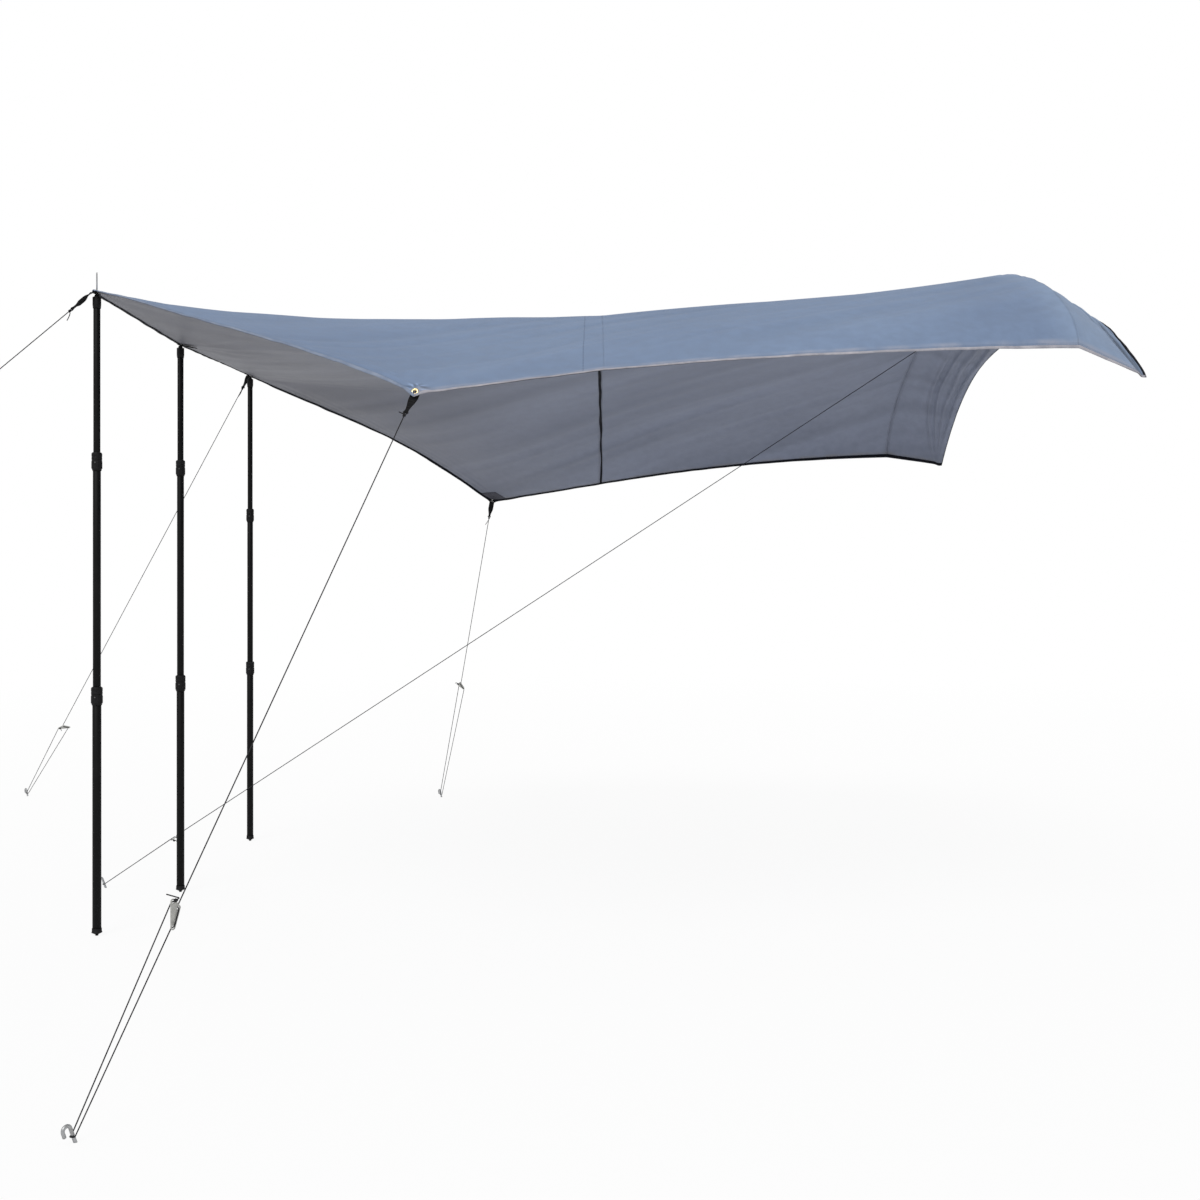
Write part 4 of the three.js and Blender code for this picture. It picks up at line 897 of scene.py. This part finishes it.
# Doubled dark grey patches stiffen the near and the far corner under the cloth.
PATCH = 0.092
PATCH_CLOTH = 0.0005
PATCH_LEVEL = -0.0016
PATCH_CELLS = 40
patch_cloth = taped(
    "dark_patch_cloth", (0.076, 0.078, 0.096), (0.104, 0.106, 0.128), 0.0007, (0.0045, PATCH - 0.0045),
    (0.012, 0.012, 0.020),
)
gaps = [PATCH * k / PATCH_CELLS for k in range(PATCH_CELLS + 1)]
for corner in ("near", "far"):
    shares = [gap / ROW_LENGTHS[0] for gap in gaps]
    vs = shares if corner == "near" else [1 - share for share in shares]
    rows = [[cloth_at(inward_share(gap, 0, v), v, PATCH_LEVEL) for v in vs] for gap in gaps]
    patch = banded(corner + "_corner_patch_cloth", rows, PATCH)
    patch.data.materials.append(patch_cloth)
    reworked(patch, lambda bm: bmesh.ops.recalc_face_normals(bm, faces=bm.faces))
    cut_faces(patch, eye_places, EYE_HOLE)
    thickened(patch, PATCH_CLOTH)
    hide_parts(corner + "_corner_patch")
    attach(patch, "canopy")

# The five eyelets: brass, each a barrel with a domed flange above the cloth and a rolled washer under the
# tape.
# The washer is painted near white, a painted glint of the bright ground that it reflects.
ROUND_SIDES = 64
WASHER_TOP = -0.0016
OVER_HEMS = 0.0018


def spun(name, profile, sides=ROUND_SIDES, closed=True):
    """A profile of (radius, height) points turned about the Z axis."""
    bm = bmesh.new()
    verts = [bm.verts.new((radius, 0, height)) for radius, height in profile]
    edges = [bm.edges.new(pair) for pair in zip(verts, verts[1:])]
    if closed:
        edges.append(bm.edges.new((verts[-1], verts[0])))
    bmesh.ops.spin(bm, geom=verts + edges, axis=(0, 0, 1), angle=2 * math.pi, steps=sides, use_merge=True)
    bmesh.ops.remove_doubles(bm, verts=bm.verts, dist=1e-7)
    bmesh.ops.recalc_face_normals(bm, faces=bm.faces)
    for face in bm.faces:
        face.smooth = True
    return kept_mesh(name, bm)


def softened(profile, bend, steps=3):
    """A closed (radius, height) profile with its corners rounded."""
    corners = [Vector((radius, 0, height)) for radius, height in profile]
    middle = corners[-1].lerp(corners[0], 0.5)
    return [(point.x, point.z) for point in eased([middle, *corners, middle], bend, steps)[:-1]]


def moved(piece, matrix):
    piece.data.transform(matrix)
    return piece


def worn_look(name, wear, tones, rough, grain=None, **constants):
    """A solid material whose tone and roughness follow one noise of a (scale, detail). A grain is
    the (scale, detail, distance, strength) of its bumps."""
    look = Look(name)
    worn = look.noise(*wear)
    look.put(Base_Color=look.ramp(worn, *tones), **constants)
    look.put(Roughness=look.ramp(worn, *rough) if isinstance(rough, tuple) else rough)
    if grain:
        look.bump(look.noise(*grain[:2]), *grain[2:])
    return look.material


brass = worn_look(
    "worn_brass", (160, 4), ((0.3, (0.62, 0.47, 0.20)), (0.7, (0.88, 0.74, 0.42))),
    ((0.3, 0.18), (0.8, 0.38)), (900, 2, 0.0001, 0.3), Metallic=1.0,
)
# Painted glint: the washers are near white and barely metallic, so that from below they show as a bright
# reflection.
glint_painted_washer = worn_look(
    "washer_painted_glint", (220, 4), ((0.3, (0.80, 0.80, 0.78)), (0.7, (0.93, 0.93, 0.91))),
    ((0.3, 0.35), (0.8, 0.55)), Metallic=0.25,
)


def eyelet_profile(rise):
    """Round the hole from the washer's underside, up the barrel and over the flange."""
    return softened(
        [
            (0.0052, -0.0032), (0.0076, -0.0034), (0.0100, -0.0026), (0.0100, -0.0018), (0.0064, -0.0018),
            (0.0064, rise + 0.0006), (0.0102, rise + 0.0006), (0.0102, rise + 0.0012),
            (0.0080, rise + 0.0022), (0.0060, rise + 0.0022), (0.0052, rise + 0.0012),
        ],
        0.0005,
    )


for corner, (centre, normal) in EYELETS.items():
    turn = UP.rotation_difference(Vector(normal)).to_matrix().to_4x4()
    ring = spun(corner + "_brass_eyelet", eyelet_profile(OVER_HEMS if corner in pulled else 0.0))
    ring.data.materials.append(brass)
    ring.data.materials.append(glint_painted_washer)
    for face in ring.data.polygons:
        face.material_index = 1 if face.center.z < WASHER_TOP else 0
    moved(ring, Matrix.Translation(centre) @ turn)
    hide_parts(corner + "_eyelet")
    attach(ring, "canopy")

# The webbing loops: one length of black polyester webbing 25 mm wide, folded double round the
# knot's eye, drawn in to 10 mm there, and held under the corner by its eyelet and bar tacks.
WEBBING = 0.0011
WEBBING_WIDTH = 0.025
# Half the distance between the middles of a strap's two layers, and the level of both under a corner.
LAYER = 0.0006
STRAP_LEVEL = -0.00495
STRAP_BEND = 0.004
STRAP_STEP = 0.0022
STRAP_HOLE = 0.0064
STRAP_BACK = 0.009
STRAP_REACH = 0.014
TACK_LEVEL = 0.0013
TWISTED_SHARE = 0.42
LOOP_ENDS = {
    "near": (-1.90986, -1.79342, -0.70169), "pole_1": (-3.10635, -0.94225, -0.25658),
    "pole_3": (-3.03019, 0.92944, -0.22992), "far": (-1.97989, 1.86632, -0.76682),
}
# Where each loop's webbing begins to narrow and ends, as shares of its length, and how far it twists.
LOOP_LOOKS = {
    "near": (0.02, 0.85, 0), "pole_1": (0.60, 0.80, math.radians(50)), "pole_3": (0.10, 0.80, 0),
    "far": (0.34, 0.92, 0),
}
webbing_look = taped("black_webbing", (0.005, 0.005, 0.006), (0.014, 0.014, 0.015), 0.0016, (), (0, 0, 0))
thread_look = worn_look("black_thread", (300,), ((0.3, 0.012), (0.7, 0.040)), 0.6)


def strap(name, there, width_at, across, hole=None):
    """Webbing that runs out on one side of its middle and back on the other, square to across. Its
    corners are (place, way off the middle, distance off it), and a hole goes through both layers."""
    corners = [place + way * off for place, way, off in there]
    corners += [place - way * off for place, way, off in reversed(there)]
    path = eased(corners, STRAP_BEND, 5)
    fine = [path[0]]
    for a, b in zip(path, path[1:]):
        steps = max(1, round((b - a).length / STRAP_STEP))
        fine += [a.lerp(b, k / steps) for k in range(1, steps + 1)]
    rows = [[point + across * width_at(point) * (j / 12 - 0.5) for j in range(13)] for point in fine]
    piece = banded(name, rows, WEBBING_WIDTH)
    if hole is not None:
        cut_faces(piece, [hole], STRAP_HOLE)
    piece.data.materials.append(webbing_look)
    thickened(piece, WEBBING)
    rim = piece.modifiers.new("selvedge", "BEVEL")
    rim.width = 0.0004
    rim.segments = 2
    rim.limit_method = "ANGLE"
    return piece


def strap_ways(normal, out, pull):
    """The way across a strap that hangs under a corner, and the way off its upper face."""
    across = square_to(normal.cross(out).normalized(), pull)
    return across, pull.cross(across).normalized()


def drawn_in(foot, pull, by, start, end):
    """The width at a point of webbing that narrows between two distances from its foot."""
    return lambda point: WEBBING_WIDTH - by * step((point - foot).dot(pull), start, end)


def eye_end(end, pull, hang):
    """The corners of the small eye in which a strap's two layers end."""
    eye = ((0.010, LAYER), (0.004, 0.0027), (0.0004, 0.0016))
    return [(end - pull * back, hang, off) for back, off in eye]


def tacked(name, middle, way, across, off, width):
    """Two bars of zigzag stitches over a strap, one on each of its faces."""
    runs = []
    for side in (1, -1):
        for bar in (-0.004, 0.004):
            centre = middle + way * bar + off * side
            runs.append([
                centre + across * width * (k / 40 - 0.5) + way * (0.0011 if k % 2 else -0.0011)
                for k in range(41)
            ])
    piece = keep(name, mesh_of_runs(name, runs, 0.0005, 1))
    piece.data.materials.append(thread_look)
    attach(piece, "canopy")
    return piece


def twisted(piece, foot, pull, length, turn):
    """Winds the piece round its own line, from none at its foot to turn."""
    for vert in piece.data.vertices:
        share = (vert.co - foot).dot(pull) / length
        wound = Matrix.Rotation(turn * step(share, 0.0, TWISTED_SHARE), 3, pull)
        vert.co = foot + wound @ (vert.co - foot)


loop_sides = {}
for name, loop_end in LOOP_ENDS.items():
    centre, normal = [Vector(x) for x in EYELETS[name]]
    loop_end = Vector(loop_end)
    out = square_to((frames[name]["peg"] - centre).normalized(), normal)
    root = centre + normal * STRAP_LEVEL
    bend = root + out * STRAP_REACH
    pull, length = (loop_end - bend).normalized(), (loop_end - bend).length
    across, hang = strap_ways(normal, out, pull)
    narrow_from, narrow_to, turn = LOOP_LOOKS[name]
    width_at = drawn_in(bend, pull, 0.015, length * narrow_from, length * narrow_to)
    there = [
        (root - out * STRAP_BACK, normal, LAYER), (bend, normal, LAYER),
        (bend + pull * length * 0.62, hang, LAYER), *eye_end(loop_end, pull, hang),
    ]
    band = strap(name + "_webbing_loop", there, width_at, across, root)
    twisted(band, bend, pull, length, turn)
    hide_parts(name + "_loop")
    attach(band, "canopy")
    for which, along in (("bar", length * 0.30), ("neck", length - 0.018)):
        middle = bend + pull * along
        wide = width_at(middle) - 0.002
        tacks = tacked(f"{name}_{which}_tacks", middle, pull, across, hang * TACK_LEVEL, wide)
        twisted(tacks, bend, pull, length, turn)
    loop_sides[name] = Matrix.Rotation(turn, 3, pull) @ across

centre, normal = [Vector(x) for x in EYELETS["pole_2"]]
inward = Vector((1, 0, -1 / 5)).normalized()
out = square_to(inward, normal)
across, hang = strap_ways(normal, out, inward)
root = centre + normal * STRAP_LEVEL
bend = root + out * STRAP_REACH
there = [
    (root - out * STRAP_BACK, normal, LAYER), (bend, normal, LAYER), (bend + inward * 0.050, hang, LAYER),
]
tab = strap("pole_2_webbing_tab", there, drawn_in(bend, inward, 0.017, 0.020, 0.048), across, root)
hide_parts("pole_2_tab")
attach(tab, "canopy")
tacked("pole_2_bar_tacks", bend + inward * 0.016, inward, across, hang * TACK_LEVEL, 0.021)

# The centre line's tab: the same webbing, sewn flat under the hood behind the arch.
centre_tab_end = Vector((0.03336, -0.01303, -0.09499))
pull = (frames["centre"]["peg"] - centre_tab_end).normalized()
bend = centre_tab_end - pull * 0.060
below = (cloth_at(2.17, 0.5) - cloth_at(2.17, 0.5, 0.01)).normalized()
out = square_to(pull, below)
across, hang = strap_ways(below, out, pull)
there = [(bend - out * 0.0215, below, LAYER), (bend, below, LAYER), *eye_end(centre_tab_end, pull, hang)]
band = strap("centre_webbing_tab", there, drawn_in(bend, pull, 0.014, 0.018, 0.046), across)
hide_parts("centre_loop")
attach(band, "canopy")
tacked("centre_bar_tacks", bend - out * 0.010, out, across, below * TACK_LEVEL, 0.022)
loop_sides["centre"] = across

# The knots: a bowline through each webbing loop, with a short tail, and a stopper behind the
# runner's first hole. They are turns of the same cord.
KNOT_CORD = LINE * 0.96
# The radius, the turns and the pitch of each knot's coils.
BOWLINE = (0.0030, 2.5, 0.0031)
STOPPER = (0.0027, 2.3, 0.0029)
# The bowlines' tails: which way each hangs and how long it is.
TAILS = {"near": (Vector((-1, 0.1, 0.10)), 0.020), "pole_1": (Vector((-0.42, 0, -1)), 0.030)}
OTHER_TAILS = (Vector((-0.45, 0, -1)), 0.034)


def coiled(centre, axis, start, radius, turns, pitch):
    over = axis.cross(start)
    count = round(turns * 14)
    points = []
    for k in range(count + 1):
        turn = 2 * math.pi * turns * k / count
        off = (start * math.cos(turn) + over * math.sin(turn)) * radius
        points.append(centre + axis * pitch * turns * (k / count - 0.5) + off)
    return points


for guy, at in frames.items():
    pull = at["down"]
    across = square_to(loop_sides[guy], pull)
    face = pull.cross(across).normalized()
    hold = (Vector(LOOP_ENDS[guy]) if guy in LOOP_ENDS else centre_tab_end) - pull * 0.0036
    tail_way, tail_length = TAILS.get(guy, OTHER_TAILS)
    tail_way = (tail_way - pull * 0.2).normalized()
    turns = coiled(at["start"] + pull * 0.0030, pull, face, *BOWLINE)
    if guy == "near":
        turns.reverse()
    last = turns[-1]
    tail = eased(
        [
            last, last + pull * 0.002 - face * 0.004, last + tail_way * 0.47 * tail_length - face * 0.003,
            last + tail_way * tail_length - face * 0.001 + across * 0.003,
        ],
        0.006,
    )
    eye = eased(
        [
            at["start"] + pull * 0.001, at["start"] - pull * 0.002 + across * 0.0045, hold + across * 0.0080,
            hold - across * 0.0080, at["start"] - pull * 0.002 - across * 0.0045, turns[0],
        ],
        0.0042,
    )
    bowline = cord_run(guy + "_bowline", [*eye, *turns[1:], *tail[1:]], KNOT_CORD)
    stop_way = (at["knot"] - at["first"]).normalized()
    stop_side = square_to(at["bar"], stop_way)
    stop_turns = coiled(at["knot"] + stop_way * 0.0006, stop_way, stop_side, *STOPPER)
    stop_tail = Vector((-0.026, -0.005, 0.010)) if guy == "near" else stop_way * 0.013 - UP * 0.008
    last = stop_turns[-1]
    stop_end = eased([last, last + stop_way * 0.006, last + stop_way * 0.004 + stop_tail], 0.004)
    stopper = cord_run(guy + "_stopper_knot", [*stop_turns, *stop_end[1:]], KNOT_CORD)
    for piece, body in ((bowline, "canopy"), (stopper, guy + "_adjuster")):
        piece.data.materials.append(cord_weave)
        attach(piece, body)

# The runners: light grey moulded plastic plates of three round lobes, each with a hole, that hang
# on the lines between two friction bends.
LOBE = 0.0062
RUNNER_HOLE = 0.0038
RUNNER_EDGE = 0.0005
runner_plastic = worn_look(
    "light_grey_plastic", (120, 5), ((0.3, (0.38, 0.38, 0.36)), (0.7, (0.54, 0.54, 0.51))),
    ((0.3, 0.38), (0.7, 0.58)), (1400, 3, 0.00012, 0.4),
)


def round_at(centre, radius, turns):
    return [centre + Vector((math.cos(turn), math.sin(turn), 0)) * radius for turn in turns]


def plate(name, centres):
    """A flat plate of lobes round the centres, in the XY plane, with a hole in each and soft edges."""
    bm = bmesh.new()
    outline = []
    for k, centre in enumerate(centres):
        before, after = centres[k - 1] - centre, centres[(k + 1) % len(centres)] - centre
        low = math.atan2(before.y, before.x) + math.pi / 2
        high = math.atan2(after.y, after.x) - math.pi / 2
        while high < low:
            high += 2 * math.pi
        outline += round_at(centre, LOBE, [low + (high - low) * n / 10 for n in range(11)])
    round_hole = [math.pi * n / 12 for n in range(24)]
    edges = []
    for rim in [outline] + [round_at(centre, RUNNER_HOLE, round_hole) for centre in centres]:
        verts = [bm.verts.new(point - UP * PLATE / 2) for point in rim]
        edges += [bm.edges.new((verts[k - 1], verts[k])) for k in range(len(verts))]
    bmesh.ops.triangle_fill(bm, use_beauty=True, use_dissolve=False, edges=edges)
    made = bmesh.ops.extrude_face_region(bm, geom=bm.faces[:])["geom"]
    raised = [vert for vert in made if isinstance(vert, bmesh.types.BMVert)]
    bmesh.ops.translate(bm, verts=raised, vec=(0, 0, PLATE))
    bmesh.ops.recalc_face_normals(bm, faces=bm.faces)
    bmesh.ops.bevel(
        bm, geom=[edge for edge in bm.edges if edge.calc_face_angle(0) > 1.0], offset=RUNNER_EDGE,
        offset_type="OFFSET", segments=3, profile=0.5, affect="EDGES", material=-1, clamp_overlap=True,
    )
    return kept_mesh(name, bm)


low_back, low_ahead = Vector((-RUNNER_BACK, RUNNER_DEPTH, 0)), Vector((RUNNER_AHEAD, RUNNER_DEPTH, 0))
for guy, at in frames.items():
    local = Matrix((at["bar"], at["drop"], at["side"])).transposed().to_4x4()
    made = plate(guy + "_line_runner", [Vector((0, 0, 0)), low_ahead, low_back])
    moved(made, Matrix.Translation(at["apex"]) @ local)
    made.data.materials.append(runner_plastic)
    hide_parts(guy + "_runner")
    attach(made, guy + "_adjuster")

# The pegs: 8 mm galvanised steel wire, pointed below and bent into a hook that keeps the line on.
PEG_ABOVE = 0.020
PEG_BELOW = 0.212
HOOK = 0.009
look = Look("galvanised_steel")
spangle = look.node("TexVoronoi", {"Scale": 260, "Vector": look.object}).outputs["Color"]
grime = look.ramp(look.noise(45, 5), (0.45, 0.0), (0.75, 0.6))
look.put(Base_Color=look.mix(grime, (0.50, 0.51, 0.52), (0.22, 0.20, 0.18)), Metallic=1.0)
look.put(Roughness=look.ramp(spangle, (0.2, 0.28), (0.8, 0.50)))
galvanised = look.material
for guy, at in frames.items():
    away = Vector((at["down"].x, at["down"].y, 0)).normalized()
    shank = UP * math.cos(PEG_LEAN) + away * math.sin(PEG_LEAN)
    out = square_to(away, shank)
    top, tip = at["peg"] + shank * PEG_ABOVE, at["peg"] - shank * PEG_BELOW
    hook = [
        top + out * HOOK * (1 - math.cos(turn)) + shank * HOOK * math.sin(turn)
        for turn in [math.pi * k / 12 for k in range(13)]
    ]
    path = [tip, tip + shank * 0.020, tip + shank * 0.030, at["peg"] - shank * 0.02, *hook]
    path += [hook[-1] - shank * 0.0105, hook[-1] - shank * 0.012]
    radii = [0.08, 0.85, 1] + [1] * (len(path) - 5) + [1, 0.62]
    wire = cord_run(guy + "_wire_peg", path, PEG_WIRE, 16, radii)
    wire.data.materials.append(galvanised)
    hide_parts(guy + "_peg")
    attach(wire, "canopy")

# The three poles: black painted steel tubes of 22, 25 and 28 mm, one in the other. Plastic clamps
# grip them, a plastic cap with a steel spike stands in the eyelet, and a plastic foot takes the end.
look = Look("black_painted_steel")
drawn = look.node("Mapping", {"Scale": (1, 1, 0.002), "Vector": look.object}).outputs[0]
streaks = look.noise(900, 3, at=drawn)
dust = look.ramp(look.noise(9, 6, 0.65), (0.50, 0.0), (0.85, 0.30))
look.put(Base_Color=look.mix(dust, (0.0050, 0.0052, 0.0052), (0.022, 0.021, 0.020)), Specular_IOR_Level=0.13)
look.put(Roughness=look.ramp(streaks, (0.3, 0.46), (0.7, 0.52)))
look.bump(streaks, 0.00002, 0.2)
paint = look.material
moulded = worn_look(
    "black_moulded_plastic", (60, 5), ((0.35, (0.0055, 0.0055, 0.006)), (0.8, (0.014, 0.014, 0.015))),
    ((0.3, 0.48), (0.7, 0.64)), (1500, 2, 0.0001, 0.5), Specular_IOR_Level=0.18,
)
mark = worn_look("grey_lock_mark", (700, 3), ((0.3, 0.07), (0.7, 0.13)), 0.6)

# Each pole's place, and the levels of its pivot in the eyelet, its spike's tip and its upper clamp.
POLES = {
    "pole_1": (-3.04410, -0.88625, -0.20249, -0.1229, -0.712),
    "pole_2": (-2.97316, -0.21101, -0.24914, -0.1700, -0.672),
    "pole_3": (-2.98635, 0.88657, -0.19528, -0.1155, -0.786),
}
LOWER_CLAMP = -1.478
TUBES = (0.022, 0.025, 0.028)
TUBE_LENGTHS = (0.850, 0.860)
TUBE_WALL = 0.001
CLAMP_WALL = 0.0042
IN_CLAMP = 0.0303
RIBS = 12
RIB_HEIGHT = 0.00045
NOSE = 0.008
SPIKE = 0.00225
# The foot's outline: radius, and height above the ground.
FOOT = (
    (0, 0), (0.0045, 0), (0.0050, 0.0006), (0.0050, 0.004), (0.0166, 0.0098), (0.0170, 0.0106),
    (0.0170, 0.0114), (0.0165, 0.0124), (0.0158, 0.0130), (0.0155, 0.0235), (0.0153, 0.024),
    (0.0143, 0.024), (0.0143, 0.014), (0, 0.014),
)
# Each piece of a pole: the body that it rides on and its slot.
POLE_PIECES = {
    "top": ("upper", "black_plastic"), "spike": ("upper", "peg_steel"),
    "upper_tube": ("upper", "pole_steel"), "middle_tube": ("middle", "pole_steel"),
    "upper_ring": ("middle", "black_plastic"),
    "upper_sleeve": ("upper_nut", "black_plastic"), "upper_dot": ("upper_nut", "black_plastic"),
    "lower_tube": ("lower", "pole_steel"), "lower_ring": ("lower", "black_plastic"),
    "foot": ("lower", "black_plastic"), "lower_sleeve": ("lower_nut", "black_plastic"),
    "lower_dot": ("lower_nut", "black_plastic"),
}


def tube_profile(width, low, high):
    outer, inner = width / 2, width / 2 - TUBE_WALL
    return [(inner, low), (outer, low), (outer, high), (inner, high)]


for pole, (x, y, pivot, spike_top, upper_clamp) in POLES.items():
    stands = Matrix.Translation((x, y, 0))
    made = {}
    shoulder = pivot - 0.002
    cap_inner = TUBES[0] / 2 + 0.0002
    turns = [-0.2527 + (1.2856 + 0.2527) * k / 10 for k in range(11)]
    nose = [(NOSE * math.cos(turn), pivot + NOSE * math.sin(turn)) for turn in turns]
    cap = [
        (0, shoulder - 0.006), (cap_inner, shoulder - 0.006), (cap_inner, shoulder - 0.037),
        (cap_inner + 0.0012, shoulder - 0.037), (0.0135, shoulder - 0.026), (0.0135, shoulder - 0.0014),
        (0.0131, shoulder - 0.0004), (0.0121, shoulder), *nose, (0, pivot + NOSE),
    ]
    made["top"] = spun(pole + "_cap", cap, closed=False)
    made["top"].data.materials.append(moulded)
    pin = [
        (0, pivot + 0.004), (SPIKE, pivot + 0.004), (SPIKE, spike_top - 0.005), (0.0019, spike_top - 0.002),
        (0.00075, spike_top), (0, spike_top),
    ]
    spike = spun(pole + "_spike", pin, 24, closed=False)
    spike.data.materials.append(galvanised)
    upper_high = shoulder - 0.0063
    spans = [
        (upper_high - TUBE_LENGTHS[0], upper_high),
        (upper_clamp - IN_CLAMP - TUBE_LENGTHS[1], upper_clamp - IN_CLAMP),
        (GROUND + 0.0143, LOWER_CLAMP - IN_CLAMP),
    ]
    for name, width, (low, high) in zip(("upper_tube", "middle_tube", "lower_tube"), TUBES, spans):
        made[name] = spun(f"{pole}_{name}_steel", softened(tube_profile(width, low, high), 0.0003, 2), 72)
        made[name].data.materials.append(paint)
    for clamp, top, inner, outer in (("upper", upper_clamp, *TUBES[:2]), ("lower", LOWER_CLAMP, *TUBES[1:])):
        bore, rim, floor = inner / 2 + CLEARANCE, outer / 2 + CLAMP_WALL, top - 0.024
        ring = [
            (bore, floor - 0.006), (outer / 2, floor - 0.006), (outer / 2, floor), (rim - 0.0010, floor),
            (rim, floor + 0.0016), (rim, floor + 0.0070), (rim - 0.0007, floor + 0.0080),
            (rim - 0.0007, floor + 0.0092), (rim, floor + 0.0102), (rim, top - 0.0036),
            (rim - 0.003, top), (bore, top),
        ]
        made[clamp + "_ring"] = spun(f"{pole}_{clamp}_clamp_ring", softened(ring, 0.0005, 2), 72)
        made[clamp + "_ring"].data.materials.append(moulded)
        bore, high, low = outer / 2 + CLEARANCE, floor - CLEARANCE, top - 0.060
        heights = [low + 0.0075 + (high - 0.0045 - low - 0.0075) * k / 12 for k in range(13)]
        sleeve = [
            (bore, low), (bore + 0.0012, low), (rim - 0.0012, low + 0.0060), *[(rim, z) for z in heights],
            (rim - 0.0012, high - 0.0032), (rim - 0.0004, high - 0.0022), (rim - 0.0004, high), (bore, high),
        ]
        grip = made[clamp + "_sleeve"] = spun(f"{pole}_{clamp}_clamp_sleeve", sleeve, 24 * RIBS)
        for vert in grip.data.vertices:
            radius = math.hypot(vert.co.x, vert.co.y)
            if radius > rim - 0.0002:
                turn = math.atan2(vert.co.y, vert.co.x)
                ridge = RIB_HEIGHT * min(1, max(-1, 2.2 * math.cos(RIBS * turn) + 0.7))
                vert.co.x *= (rim + ridge) / radius
                vert.co.y *= (rim + ridge) / radius
        grip.data.materials.append(moulded)
        dot = spun(
            f"{pole}_{clamp}_lock_mark",
            [(0, 0), (0.0021, 0), (0.0021, 0.0005), (0.0015, 0.0009), (0, 0.0010)], 24, closed=False,
        )
        facing = Matrix.Rotation(math.radians(90), 4, "X")
        moved(dot, Matrix.Translation((0, -(rim + 0.0001), floor - 0.0095)) @ facing)
        dot.data.materials.append(mark)
        made[clamp + "_dot"] = dot
    foot = [(radius, GROUND + height) for radius, height in FOOT]
    made["foot"] = spun(pole + "_foot_cap", foot, closed=False)
    made["foot"].data.materials.append(moulded)
    made["spike"] = spike
    for name, piece in made.items():
        body, slot = POLE_PIECES[name]
        moved(piece, stands)
        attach(piece, f"{pole}_{body}")
        if name not in ("spike", "upper_dot", "lower_dot"):
            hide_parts(f"{pole}_{name}")

# The picture's plain tones.
bpy.context.scene.view_settings.view_transform = "Standard"
